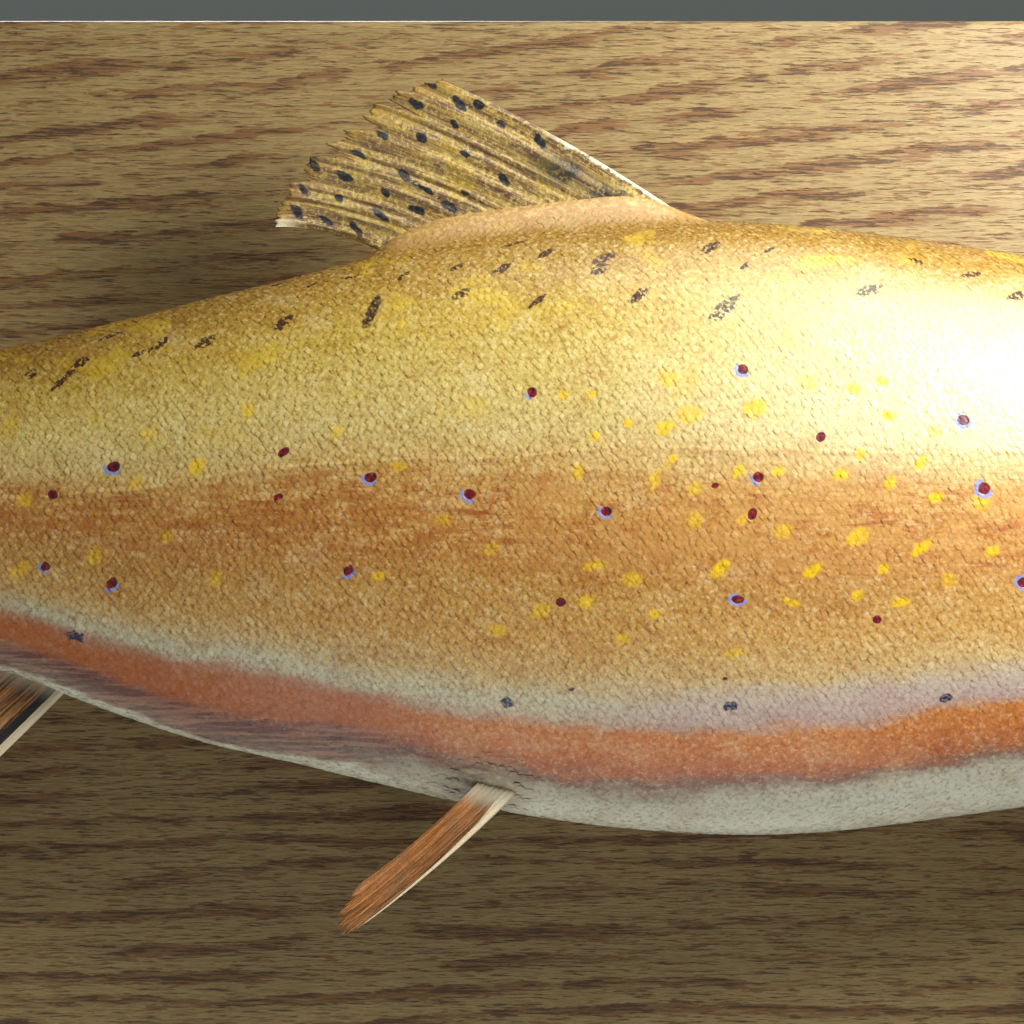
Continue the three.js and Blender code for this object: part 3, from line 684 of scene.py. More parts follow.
def makePaint():
    # the fish's paint by height on the body, with brushed streaks, marks over it, and the head's own colours
    group = bpy.data.node_groups.new("troutPaint", "ShaderNodeTree")
    for label, kind in (("Color", "NodeSocketColor"), ("Height", "NodeSocketFloat")):
        group.interface.new_socket(label, in_out="OUTPUT", socket_type=kind)
    out = group.nodes.new("NodeGroupOutput")
    p = Painter(group)
    between, cloud, times, lay = p.between, p.cloud, p.times, p.lay
    x, y, z = p.axes(p.place)
    names = ("paintHeight", "headward", "overLine", "bareness")
    height, ahead, line, bare = (p.value(name) for name in names)
    broad, fine = cloud((22, 22, 60)), cloud((130, 130, 420))
    h = p.spread(p.spread(height, broad, 0.07), fine, 0.035)
    p.colour = p.ramp(h, paint["flank"])

    # soft mottling, coarse and fine, and lemon patches high on the flank
    blots = cloud((110, 110, 200), 3, 0.6)
    specks = cloud(1100, 3, 0.7)
    p.stain(between(blots, 0.5, 0.72, 0, 0.4), rgb(216, 178, 128))
    lay(between(blots, 0.48, 0.3, 0, 0.15), rgb(236, 222, 176))
    p.stain(between(specks, 0.5, 0.66, 0, 0.6), rgb(190, 150, 108))
    lay(between(specks, 0.47, 0.34, 0, 0.3), rgb(244, 230, 184))
    lemon = between(cloud((75, 75, 130), 3, 0.6), 0.54, 0.66)
    lay(times(lemon, between(h, 0.62, 0.76)), rgb(206, 174, 40), 0.55)

    # brushed streaks along the middle of the flank, slanting ones low towards the tail
    streaks = between(cloud((70, 200, 700), 4, 0.65), 0.47, 0.64)
    streaks = times(streaks, between(cloud((60, 60, 130)), 0.4, 0.62, 0.3, 1.4))
    middle = times(between(h, 0.38, 0.48), between(h, 0.62, 0.55))
    lay(times(streaks, middle), paint["streak"], 0.65)
    rust = cloud((190, 190, 420), 3, 0.7)
    lay(times(between(rust, 0.55, 0.64, 0, 0.6), middle), rgb(160, 76, 24))
    lay(times(between(rust, 0.45, 0.36, 0, 0.45), middle), rgb(222, 184, 118))
    lay(times(between(blots, 0.42, 0.56), between(x, -0.01, 0.03, 0.2, 0.6), middle), rgb(198, 150, 82))
    slanting = p.node("VectorRotate", p.place, None, None, -0.7, rotation_type="Y_AXIS")
    slashes = between(cloud((120, 300, 1200), place=slanting), 0.5, 0.68)
    lay(times(slashes, between(h, 0.17, 0.3), between(h, 0.52, 0.42)), paint["streak"], 0.3)

    # a violet band over the belly, painted shade darkening the back towards the tail, and painted light
    # brightening the flank nearest the head with a painted highlight over its upper part
    lay(times(between(h, 0.15, 0.18), between(h, 0.25, 0.2), between(x, 0.01, 0.06)), paint["violet"], 0.45)
    # painted shade: the back darkened towards the tail
    p.stain(times(between(x, 0.0, -0.12), between(h, 0.7, 1.0)), paint["tailShade"])
    # painted light: the mid and lower flank screened lighter towards the head, where the lamp falls strongest
    lay(times(between(x, 0.025, 0.075), between(h, 0.72, 0.6)), paint["paintedLight"], 0.28, "SCREEN")
    # painted highlight: a whitish sheen laid over the upper flank towards the head
    upper = times(between(h, 0.55, 0.68), between(h, 0.98, 0.84))
    lay(times(upper, between(x, 0.015, 0.085)), paint["paintedHighlight"], 0.4)

    # behind the pelvic fins a deeper orange, with purple streaks under it
    behind = between(x, 0.006, -0.02)
    lay(times(between(h, 0.2, 0.165), between(h, 0.09, 0.11), behind), rgb(172, 84, 16), 0.7)
    plum = p.mixed(between(cloud((70, 200, 1100), 3, 0.6), 0.42, 0.6), paint["plum"], paint["plumPale"])
    lay(times(between(h, 0.115, 0.085), between(h, 0.018, 0.034), behind), plum, 0.85)

    # the lateral line, pale and broken, with a rusty edge under it
    wander = p.spread(line, fine, 1.2)
    lay(times(between(wander, -1.5, -0.7), between(wander, -0.1, -0.5)), paint["streak"], 0.16)
    broken = between(cloud(420, 2), 0.42, 0.56)
    lay(times(between(p.maths("ABSOLUTE", wander), 0.5, 0.1), broken), paint["linePale"], 0.4)

    # bare skin at the fins' feet
    skin = Painter(group, p.mixed(between(z, -0.02, 0.02), paint["bareLow"], paint["bareTop"]))
    skin.mottle((specks, 0.5, 0.6, 0.55, (232, 206, 140)), (specks, 0.46, 0.38, 0.5, (134, 88, 46)))
    # painted shade: dark streaks in the folds of the bare skin below the middle, at the pelvic fins' feet
    foldShade = between(cloud((160, 300, 900), 3, 0.6), 0.48, 0.6)
    skin.lay(times(foldShade, between(z, 0, -0.02, 0, 0.85)), rgb(84, 64, 50))
    lay(bare, skin.colour, 0.8)

    # the head, darker above, mottled, with small dark spots
    face = Painter(group, p.ramp(h, paint["head"]))
    face.stain(between(cloud(70, 3, 0.6), 0.5, 0.7, 0, 0.4), rgb(190, 150, 110))
    face.mottle((specks, 0.46, 0.34, 0.3, (204, 180, 116)))
    face.lay(times(between(cloud(260), 0.48, 0.6), between(h, 0.5, 0.85, 0, 0.55)), rgb(46, 40, 22))
    spots = between(p.node("TexVoronoi", p.place, None, 150), 0.26, 0.16)
    face.lay(times(spots, between(h, 0.42, 0.52)), rgb(40, 30, 20), 0.7)
    lay(between(ahead, between(h, 0.7, 0.95, -8, -36), 4), face.colour)

    # the scales thin out into the tail fin's own colour
    root = p.mixed(between(fine, 0.4, 0.6), paint["rootDark"], paint["rootPale"])
    lay(between(p.spread(x, broad, 0.012), -0.16, -0.178, 0, 0.85), root)

    # the marks
    kind, r, lean, near = markIn(p, "yellowDabs", 0.7)
    lay(times(between(r, 1.25, 0.55), kind, near, between(specks, 0.62, 0.42, 0.5, 1)), paint["yellow"])
    kind, r, lean, near = markIn(p, "darkStrokes", 0.9)
    ink = p.ramp(kind, paint["inks"], "CONSTANT")
    dry = between(cloud(1500, 2, place=slanting), 0.38, 0.5)
    dry = p.maths("MAXIMUM", dry, between(kind, 0.35, 0.4, 0, 0.6))
    lay(times(between(r, 1.05, 0.75), dry, near), ink)
    kind, r, lean, near = markIn(p, "redDots", 0.35, 1.9)
    edge = p.maths("GREATER_THAN", lean, p.maths("MULTIPLY_ADD", kind, -1.95, 1.3))
    lay(times(between(r, 1.75, 1.4), edge, near), paint["halo"], 0.85)
    core = times(between(r, 1.1, 0.85), near)
    blood = p.mixed(between(specks, 0.5, 0.58), paint["red"], rgb(52, 18, 44))
    lay(core, p.mixed(between(specks, 0.42, 0.34), blood, rgb(176, 60, 70)))

    brushed = p.plus(times(streaks, 0.3), cloud(2600))
    plug(group, out.inputs["Color"], p.colour)
    plug(group, out.inputs["Height"], p.plus(brushed, times(core, 2.0)))
    return group


troutPaint = makePaint()


def paintedMaterial(name, specular):
    # the fish's paint under its varnish
    look = {"Coat Weight": 0.45, "Coat Roughness": 0.2, "Specular IOR Level": specular}
    material, p = newMaterial(name, look)
    p.colour, height = p.node("Group", node_tree=troutPaint).node.outputs
    return material, p, height


def makeSkinMaterial():
    # painted shade darkens the grooves in the skin
    material, p, height = paintedMaterial("paintedSkin", 0.5)
    p.stain(p.times(p.value("creaseShade"), 0.8), rgb(96, 62, 48))
    p.finish(p.between(p.cloud(300), 0.3, 0.7, 0.3, 0.46), height, 0.3, 0.00012)
    return material


def makeScaleMaterial():
    # painted shade darkens each scale a little towards its edge and not at all on its crown
    material, p, height = paintedMaterial("paintedScales", 0.45)
    p.stain(p.between(p.value("crown"), 0.0, 0.9, 0.08, 0.0), rgb(170, 140, 110))
    p.finish(p.between(p.cloud(500), 0.3, 0.7, 0.3, 0.5), height, 0.5, 0.00012)
    return material


skinMaterial = makeSkinMaterial()
scaleMaterial = makeScaleMaterial()


def skinPoint(x, turn):
    # the smooth body moved along its outward direction by the relief
    here, tailward, around, outward = bodyFrame(x, turn)
    relief, creaseShade = headRelief(x, here[..., 2] - body["axisZ"], here[..., 1] - middleY(x))
    return here + outward * relief[..., None], creaseShade


def makeSkin():
    # rings from the snout to the tail, each sampled at even turns, with a fan over each end
    nose, front, rear = body["columns"]
    tip = sections[0][0]
    noseX = tip - body["noseCap"] * (1 - np.sin(np.linspace(0.98 * np.pi / 2, 0, nose)))
    headX = np.linspace(tip - body["noseCap"], body["headEnd"], front + 1)[1:]
    rearX = np.linspace(body["headEnd"], sections[-1][0], rear + 1)[1:]
    along = np.concatenate([noseX, headX, rearX])
    turns = np.linspace(-np.pi, np.pi, body["rows"], endpoint=False)
    x, turn = (v.ravel() for v in np.meshgrid(along, turns, indexing="ij"))
    points, creaseShade = skinPoint(x, turn)
    n, m = len(along), len(turns)
    rings = points.reshape(n, m, 3)
    ends = np.stack([rings[0].mean(0) + (0.05, 0, 0), rings[-1].mean(0)])
    allPoints = np.concatenate([points, ends])
    piece = makePiece("troutSkin", allPoints, tubeFaces(n, m), skinMaterial)
    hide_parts("head", "lower_jaw", "gill_cover_right", "gill_cover_left", "trunk", "tail_stalk")
    x, turn = np.append(x, [along[0], along[-1]]), np.append(turn, [0, 0])
    near = np.cos(turn) >= 0
    flat = np.where(near, turn, np.pi - turn)
    addPaintValues(piece, allPoints, x, near, girthAt(x, (flat + np.pi) % (2 * np.pi) - np.pi))
    addValues(piece, "creaseShade", np.append(creaseShade, [0, 0]))
    reach = (along[0] - x) / (along[0] - along[-1])
    addMap(piece, "skinMap", np.stack([reach, turn / (2 * np.pi) + 0.5], 1))


makeSkin()
print("skin made")


scales = {
    "rowPitch": 0.85,  # across the rows
    "pitch": 1.25,  # along a row
    "length": 1.75,
    "width": 1.66,
    "patch": 0.003,  # how much of the unwrapped skin one scale takes
    "rows": (-90, 110),
    "splitAt": 16,  # front and rear pieces part here
    "front": 170,
    "jitter": 0.14,
    "tip": 0.05,  # how far a scale is tipped at random
}
# one scale: share of the length towards the tail, share of the width, height over the skin, crown
scalePoints = np.array(
    [
        (-0.55, 0, -0.08, 0.2),
        (-0.25, 0.48, -0.04, 0.1),
        (0.25, 0.44, 0.06, 0.1),
        (0.52, 0, 0.12, 0.3),
        (0.25, -0.44, 0.06, 0.1),
        (-0.25, -0.48, -0.04, 0.1),
        (0.12, 0, 0.15, 1),
        (0, 0, -0.14, 0),
    ]
)
rim = np.arange(6)
scaleFaces = np.concatenate(
    [np.stack([np.full(6, 6), (rim + 1) % 6, rim], 1), np.stack([np.full(6, 7), rim, (rim + 1) % 6], 1)]
)


def makeScales(name, side, low, high):
    # rows keep a fixed arc length from the widest place, every other row set back half a pitch; each scale is
    # a low dome on the skin, leaning up towards the tail
    rows = np.arange(*scales["rows"])
    steps = np.arange(low, high, scales["pitch"])
    k, x = np.meshgrid(rows, steps, indexing="ij")
    x = x + (k % 2) * scales["pitch"] / 2 + chance.normal(0, scales["jitter"], x.shape)
    girth = k * scales["rowPitch"] + chance.normal(0, scales["jitter"] * 0.8, x.shape)
    x, girth = x.ravel(), girth.ravel()
    first, last = girthAt(x, np.full(len(x), -np.pi / 2)), girthAt(x, np.full(len(x), np.pi / 2))
    kept = (girth > first + 0.1) & (girth < last - 0.1) & (x > sections[-1][0] + 0.5) & (x < scales["front"])
    x, girth = x[kept], girth[kept]
    turn = turnAt(x, girth)
    turn = turn if side > 0 else np.pi - turn
    here, tailward, around, outward = bodyFrame(x, turn)
    z, across = here[:, 2] - body["axisZ"], here[:, 1] - middleY(x)
    kept = (headward(x, z) < -1.3 - 0.5 * ease(z, 33, 28)) & (bareAt(x, z, across) < 0.75)
    x, girth, turn, here, tailward, around, outward, z, across = (
        v[kept] for v in (x, girth, turn, here, tailward, around, outward, z, across)
    )
    relief, creaseShade = headRelief(x, z, across)
    size = (0.72 + 0.28 * ease(-headward(x, z), 1, 18)) * (1 - 0.25 * ease(x, -120, -175))
    size = size * chance.normal(1, 0.06, len(x))
    back, belly, half = bodySection(x)
    share = (z - belly) / (back - belly)
    tall = chance.uniform(0.35, 1.25, len(x)) * (1 + 0.5 * bump(z - tableAt(lateralLine, x), 0.8))
    tall = tall * (0.3 + 0.7 * ease(share, 0.08, 0.34)) * (1 - 0.5 * bareAt(x, z, across))
    along, wide, high_, crown = scalePoints.T
    e = along * scales["length"] * size[:, None]
    w = wide * scales["width"] * size[:, None]
    tips = chance.normal(0, scales["tip"], (2, len(x), 1))
    h = relief[:, None] + high_ * tall[:, None] + tips[0] * along + tips[1] * wide
    points = here[:, None] + tailward[:, None] * e[..., None] + around[:, None] * w[..., None]
    points = (points + outward[:, None] * h[..., None]).reshape(-1, 3)
    count = len(x)
    faces = (scaleFaces[None] + 8 * np.arange(count)[:, None, None]).reshape(-1, 3)
    piece = makePiece(name, points, [faces], scaleMaterial)
    near = np.full(8 * count, side > 0)
    cornerX = (x[:, None] + e * tailward[:, :1]).ravel()
    addPaintValues(piece, points, cornerX, near, (girth[:, None] + side * w).ravel())
    addValues(piece, "crown", np.tile(crown, count))
    ends = np.empty(2 * len(piece.data.edges), np.int32)
    piece.data.edges.foreach_get("vertices", ends)
    sharp = piece.data.attributes.new("sharp_edge", "BOOLEAN", "EDGE")
    sharp.data.foreach_set("value", (ends.reshape(-1, 2) % 8 < 6).all(1))
    print(name, len(faces), "triangles")
    u = (sections[0][0] - x) / (sections[0][0] - sections[-1][0])
    v = ((turn + np.pi) % (2 * np.pi)) / (2 * np.pi)
    patch = np.stack([u[:, None] + along * scales["patch"], v[:, None] + wide * scales["patch"]], -1)
    addMap(piece, "OFBake", patch.reshape(-1, 2))


for sideName, side in (("Right", 1), ("Left", -1)):
    makeScales("scalesFront" + sideName, side, scales["splitAt"], scales["front"] + 2)
    makeScales("scalesRear" + sideName, side, sections[-1][0], scales["splitAt"])
print("scales laid")


# each fin: the two ends of its foot, from the axis and the middle plane; the way it stands; the angles of its
# first and last rays; the lengths of its first, middle and last; thickness at foot and margin; bow, roundness
# and arch; and torn places as share along the margin, depth and width; edge is the width of the pale edge
fins = {
    "dorsal_fin": {
        "front": (42.5, 0, 57), "rear": (-11, 0, 49.5), "out": (0, 0, 1), "angles": (37, 21),
        "lengths": (52, 42, 21.5), "thick": (2.6, 0.7), "bow": -2, "rounded": 0.03, "arch": 6, "rays": 12,
        "torn": [
            (0.05, 0.02, 0.02), (0.19, 0.11, 0.011), (0.32, 0.15, 0.022), (0.4, 0.05, 0.03),
            (0.5, 0.12, 0.025), (0.66, 0.07, 0.03), (0.8, 0.04, 0.02),
        ],
    },
    "adipose_fin": {
        "front": (-103, 0, 25), "rear": (-112, 0, 23.5), "out": (0, 0, 1), "angles": (46, 30),
        "lengths": (17, 16.5, 12), "thick": (3.2, 1.2), "bow": 0, "rounded": 0.25, "arch": 2, "rays": 0,
        "torn": [],
    },
    "caudal_fin": {
        "front": (-166, 0, 22.5), "rear": (-166, 0, -18.7), "out": (-1, 0, 0), "angles": (117, 63),
        "lengths": (66, 53, 65), "thick": (3.6, 0.7), "bow": -4, "rounded": 0.07, "arch": 0, "rays": 19,
        "torn": [
            (0.12, 0.04, 0.01), (0.3, 0.05, 0.012), (0.56, 0.03, 0.01), (0.71, 0.05, 0.01), (0.9, 0.03, 0.01),
        ],
    },
    "anal_fin": {
        "front": (-66, 0, -27), "rear": (-106, 0, -15.5), "out": (0, 0, -1), "angles": (60, 42),
        "lengths": (55, 42, 26), "thick": (2.8, 0.7), "bow": -2, "rounded": 0.06, "arch": 3, "rays": 10,
        "torn": [(0.3, 0.05, 0.02), (0.55, 0.04, 0.02), (0.8, 0.05, 0.02)],
    },
    "pelvic_fin_right": {
        "front": (13.5, -9, -47.5), "rear": (5.5, -10, -46.5), "out": (0, -0.3, -1), "angles": (47, 47),
        "lengths": (42, 39.5, 32), "thick": (3.0, 0.8), "bow": -1, "rounded": 0.1, "arch": 4, "rays": 8,
        "torn": [(0.35, 0.05, 0.05), (0.6, 0.08, 0.04), (0.85, 0.07, 0.05)], "edge": 2.6,
    },
    "pelvic_fin_left": {
        "front": (15, 9, -47.5), "rear": (7, 10, -46.5), "out": (0, 0.24, -1), "angles": (49, 49),
        "lengths": (42, 39.5, 32), "thick": (3.0, 0.8), "bow": 1, "rounded": 0.1, "arch": 4, "rays": 8,
        "torn": [(0.3, 0.05, 0.05), (0.7, 0.06, 0.05)],
    },
    "pectoral_fin_right": {
        "front": (142, -15, -39), "rear": (137, -18, -36), "out": (0, -0.5, -1), "angles": (106, 74),
        "lengths": (63, 56, 30), "thick": (3.4, 0.8), "bow": 4, "rounded": 0.06, "arch": 0, "rays": 12,
        "torn": [(0.25, 0.04, 0.02), (0.5, 0.05, 0.015), (0.75, 0.04, 0.02)],
    },
    "pectoral_fin_left": {
        "front": (142, 15, -39), "rear": (137, 17, -36), "out": (0, 0, -1), "angles": (112, 86),
        "lengths": (62, 55, 30), "thick": (3.4, 0.8), "bow": -2, "rounded": 0.06, "arch": 0, "rays": 12,
        "torn": [(0.2, 0.04, 0.02), (0.55, 0.05, 0.015), (0.8, 0.04, 0.02)],
    },
}
# x and height over the axis of the dark spots on the dorsal fin
dorsalSpots = [
    (-2.5, 80), (2.5, 76.5), (6, 76.5), (-5.5, 76.5), (10, 73), (1.5, 73), (-11.5, 71), (-4.5, 70.5),
    (17, 70), (-16, 67.5), (3.5, 67.5), (-24, 65.5), (-23.5, 67.5), (-18.5, 63.5), (-7.5, 63.5), (10.5, 63),
    (-26, 61), (-11, 60.5), (-3.5, 61), (3.5, 60.5), (-19.5, 59.5), (0.5, 58), (-5.5, 57.5), (-27, 57),
    (-12, 56.5), (-22, 55.5), (-16.5, 54),
]
finGrid = {"across": 260, "out": 84, "rootDepth": 0.09, "pleat": 0.2, "ridge": 0.13, "edge": 1.6}


def finAxes(fin):
    # the foot's line, the way out square to it, and the side they leave over
    along = unit(np.subtract(fin["rear"], fin["front"]).astype(float))
    outward = np.array(fin["out"], float)
    outward = unit(outward - along * (outward @ along))
    return along, outward, np.cross(along, outward)


def finPoint(fin, u, v):
    # rays leave the foot at angles that change evenly along it; their lengths follow a parabola through the
    # first, middle and last; arch bends them as v(1 - v) and bow as v squared
    along, outward, side = finAxes(fin)
    first, middle, last = fin["lengths"]
    angle = np.radians(fin["angles"][0] + (fin["angles"][1] - fin["angles"][0]) * u)
    reach = first * (1 - u) * (1 - 2 * u) + 4 * middle * u * (1 - u) + last * u * (2 * u - 1)
    reach = reach * (1 - fin["rounded"] * np.abs(2 * u - 1) ** 6)
    start = np.array(fin["front"]) * (1 - u[..., None]) + np.array(fin["rear"]) * u[..., None]
    start = start + np.stack([0 * u, middleY(start[..., 0]), body["axisZ"] + 0 * u], -1)
    run, rise = np.cos(angle) * reach * v, np.sin(angle) * reach * v + fin["arch"] * v * (1 - v)
    sway = fin["bow"] * v * np.abs(v) * np.sign(side[1])
    return start + along * run[..., None] + outward * rise[..., None] + side * sway[..., None], side


def marginAt(fin, u):
    # how far each ray reaches: whole, less small scallops between rays and the torn places
    margin = 1 - 0.008 * (1 - np.cos(u * fin["rays"] * 4 * np.pi)) - 0.018 * np.sin(u * 37 + 1.3) ** 2
    margin = margin - 0.009 * np.sin(u * 160 + 3 * np.sin(u * 41))
    for place, depth, width in fin["torn"]:
        margin = margin - depth * bump(u - place, width) * (1 + 0.3 * np.sin(u * 400))
    return margin


def makeFin(name, fin, material):
    # the mid surface is pleated by the rays, with ridges on both faces over them; each ray forks half way
    across, out = np.linspace(0, 1, finGrid["across"]), np.linspace(-finGrid["rootDepth"], 1, finGrid["out"])
    if fin["rays"] == 0:
        across, out = across[::3], out[::2]
    u, v = np.meshgrid(across, out, indexing="ij")
    uneven = u + 0.014 * np.sin(u * 23 + 1.1) + 0.008 * np.sin(u * 51 + v * 2.5)
    phase = uneven * fin["rays"] * 2 * np.pi
    fork = ease(v, 0.35, 0.75)
    ray = 0.5 + 0.5 * ((1 - fork) * np.cos(phase) + fork * np.cos(2 * phase))
    joints = 0.12 * np.cos(v * 2 * np.pi * 30 + 2 * np.sin(3 * phase)) * ease(v, 0.25, 0.5)
    ridge = (ray**0.8 + joints * ray) * (fin["rays"] > 0)
    trimmed = np.where(v > 0, v * marginAt(fin, u), v)
    points, side = finPoint(fin, u, trimmed)
    width = np.linalg.norm(np.gradient(points, axis=0), axis=2).sum(0)
    pleat = np.cos(phase + 0.8) + 0.7 * np.sin(phase * 0.37 + 2 * v)
    pleat = finGrid["pleat"] * pleat * ease(v, 0.05, 0.4) * (fin["rays"] > 0)
    points = points + side * pleat[..., None]
    thick = (fin["thick"][0] + (fin["thick"][1] - fin["thick"][0]) * np.sqrt(np.clip(v, 0, 1))) / 2
    edge = np.sqrt(np.clip(np.minimum(u, 1 - u) / 0.02, 0, 1)) * np.sqrt(np.clip((1 - v) / 0.03, 0, 1))
    half = thick * 0.62 + finGrid["ridge"] * ridge * (1 - 0.5 * v)
    half = half * (0.12 + 0.88 * edge) * ease(v, -0.13, 0.05)
    n, m = u.shape
    faces = np.concatenate([points + side * half[..., None], (points - side * half[..., None])[:, ::-1]], 1)
    j = np.arange(m - 1)
    firstCap = np.stack([j, j + 1, 2 * m - 2 - j, 2 * m - 1 - j], 1)
    lastCap = firstCap[:, ::-1] + (n - 1) * 2 * m
    quads = np.concatenate([gridQuads(n, 2 * m, wrap=True), firstCap, lastCap])
    flat = faces.reshape(-1, 3)
    a, b, c, d = (flat[quads[:, i]] for i in range(4))
    if np.einsum("ij,ij->", a, np.cross(b - a, c - a) + np.cross(c - a, d - a)) < 0:
        quads = quads[:, ::-1]
    piece = makePiece(name, flat, [quads], material)
    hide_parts(name)

    def twice(values):
        return np.concatenate([values, values[:, ::-1]], 1).ravel()

    addValues(piece, "ray", twice(ridge))
    addValues(piece, "edgeBand", twice(fin.get("edge", finGrid["edge"]) / width[None] + 0 * u))
    addValues(piece, "stripeShare", np.full(len(flat), 0.0 if "pelvic" in name else 1.0))
    addMap(piece, "finMap", np.stack([twice(u), twice(v)], 1))
    if name == "dorsal_fin":
        x, z = np.array(dorsalSpots).T
        sizes = [1.4 + 0.4 * np.sin(x * 3), 0.66 + 0.14 * np.sin(z), -42 + 14 * np.sin(x + z), 0 * x]
        marks = np.stack([x, z, *sizes], 1)
        found = nearestMark(flat[:, 0], flat[:, 2] - body["axisZ"], marks, z)
        addValues(piece, "finSpots", found)


def finPainter(name):
    # what both kinds of fin read: the place on the fin, lines along its rays and fine grit
    material, p = newMaterial(name, {"Coat Weight": 0.35, "Coat Roughness": 0.2})
    place = p.node("UVMap", uv_map="finMap")
    lines, grit = p.cloud((90, 5, 1), 3, 0.6, place), p.cloud(1300, 3, 0.7)
    return material, p, place, lines, grit


def finishFin(p, lines, smoothest, roughest):
    p.finish(p.between(lines, 0.3, 0.7, smoothest, roughest), p.plus(lines, p.cloud(2200, 2)))


def makeUpperFinMaterial(name, spots):
    # mustard rays with brown furrows, a pale granular foot, a white edge low in front, and dark ovals
    material, p, place, lines, grit = finPainter(name)
    between, cloud, times, lay = p.between, p.cloud, p.times, p.lay
    u, v, w = p.axes(place)
    blotch = cloud(160)
    furrow = p.mixed(between(blotch, 0.4, 0.6), rgb(124, 90, 52), rgb(92, 66, 58))
    p.colour = p.mixed(between(p.value("ray"), 0.1, 0.75), furrow, rgb(152, 122, 52))
    patches = cloud((9, 2.5, 1), 3, 0.6, place)
    p.mottle(
        (patches, 0.46, 0.58, 0.85, (104, 76, 60)),
        (patches, 0.44, 0.34, 0.6, (166, 150, 92)),
        (lines, 0.46, 0.62, 0.5, (186, 160, 92)),
        (lines, 0.46, 0.36, 0.75, (92, 66, 50)),
        (blotch, 0.52, 0.68, 0.5, (176, 146, 40)),
        (grit, 0.5, 0.62, 0.5, (214, 192, 120)),
        (grit, 0.46, 0.36, 0.45, (96, 72, 50)),
        (v, 0.86, 0.99, 0.5, (150, 112, 40)),
    )
    grain = between(cloud(1400, 2), 0.45, 0.6)
    lay(times(between(v, 0.3, 0.12), grain), rgb(226, 200, 122), 0.7)
    lay(between(v, 0.1, 0.03), rgb(198, 148, 76))
    front = p.spread(u, cloud(520, 3, 0.6), 0.09)
    lay(times(between(front, 0.02, 0.01), between(v, 0.58, 0.44)), rgb(200, 194, 168))
    lay(times(between(u, 0.93, 0.98), between(v, 0.75, 0.95)), rgb(232, 222, 190))
    if spots:
        smudge = times(between(u, 0.25, 0.16), between(u, 0.04, 0.08), between(v, 0.08, 0.15))
        smudge = times(smudge, between(v, 0.52, 0.32), between(blotch, 0.38, 0.52, 0.45, 1))
        smudge = times(smudge, between(grit, 0.38, 0.52, 0.35, 0.95))
        lay(smudge, rgb(34, 38, 40))
        kind, r, lean, near = markIn(p, "finSpots", 1.3)
        ink = p.mixed(between(grit, 0.5, 0.64), rgb(18, 20, 26), rgb(48, 54, 64))
        lay(times(between(r, 1.2, 0.8), near, between(lines, 0.32, 0.46, 0.45, 1)), ink)
    else:
        root = p.mixed(between(lines, 0.4, 0.6), paint["rootDark"], paint["rootPale"])
        lay(between(v, 0.52, 0.26, 0, 0.85), root)
        lay(times(between(cloud(170, 2), 0.56, 0.62), between(v, 0.15, 0.3)), rgb(56, 46, 34), 0.6)
    finishFin(p, lines, 0.32, 0.5)
    return material


def makeLowerFinMaterial():
    # a cream leading edge, a black stripe behind it, then orange rays with fine dark lines
    material, p, place, lines, grit = finPainter("lowerFins")
    between, times, lay = p.between, p.times, p.lay
    u, v, w = p.axes(place)
    p.colour = p.mixed(between(p.value("ray"), 0.0, 0.7), rgb(134, 84, 40), rgb(178, 112, 48))
    p.mottle((lines, 0.52, 0.66, 0.6, (206, 174, 126)), (p.cloud(200), 0.48, 0.62, 0.4, (120, 96, 72)))
    lay(times(between(lines, 0.5, 0.4), between(u, 0.75, 0.4, 0.2, 0.95)), rgb(46, 34, 28))
    p.mottle((grit, 0.48, 0.36, 0.4, (110, 72, 46)))
    # the stripe is narrow where the fin is broad at its foot
    at = p.maths("DIVIDE", p.spread(u, lines, 0.03), p.value("edgeBand"))
    stripe = times(between(at, 0.9, 1.05), between(at, 2.2, 1.9))
    thin = p.mixed(p.value("stripeShare"), between(lines, 0.52, 0.46), (1, 1, 1, 1))
    lay(times(stripe, thin), rgb(28, 24, 22))
    lay(between(at, 1.05, 0.9), rgb(216, 200, 166))
    lay(between(v, 0.16, 0.05), rgb(190, 182, 156), 0.8)
    finishFin(p, lines, 0.34, 0.52)
    return material


spottedFin = makeUpperFinMaterial("dorsalFin", True)
plainFin = makeUpperFinMaterial("tailFins", False)
lowerFin = makeLowerFinMaterial()
for name, fin in fins.items():
    upper = name in ("dorsal_fin", "adipose_fin", "caudal_fin")
    look = spottedFin if name == "dorsal_fin" else plainFin if upper else lowerFin
    makeFin(name, fin, look)
print("fins made")


eye = {"pupil": 0.4, "rings": 40, "spokes": 96, "fill": 0.99}


def makeEyeMaterial():
    # a black pupil drawn out to the front, a gold ring round it, and a flecked iris that darkens outwards
    material, p = newMaterial("glassEye", {"Roughness": 0.12, "Coat Weight": 1.0, "Coat Roughness": 0.02})
    u, v, w = p.axes(p.node("UVMap", uv_map="eyeMap"))
    drawn = p.times(p.between(u, -0.1, 0.6, 0.0, 0.12), p.between(p.maths("ABSOLUTE", v), 0.5, 0.0))
    r = p.node("VectorMath", p.node("CombineXYZ", u, v), operation="LENGTH", out=1)
    r = p.maths("SUBTRACT", r, drawn)
    flecks = p.cloud(7, 4, place=p.node("CombineXYZ", p.maths("ARCTAN2", v, u), r))
    stops = [
        (eye["pupil"], rgb(228, 190, 92)),
        (0.5, rgb(206, 156, 60)),
        (0.64, rgb(168, 116, 46)),
        (0.8, rgb(112, 80, 40)),
        (0.92, rgb(40, 32, 22)),
    ]
    iris = p.ramp(p.spread(r, flecks, 0.24), stops)
    p.colour = p.mixed(p.between(r, eye["pupil"], eye["pupil"] - 0.025), iris, rgb(6, 6, 8))
    p.finish(None)
    return material


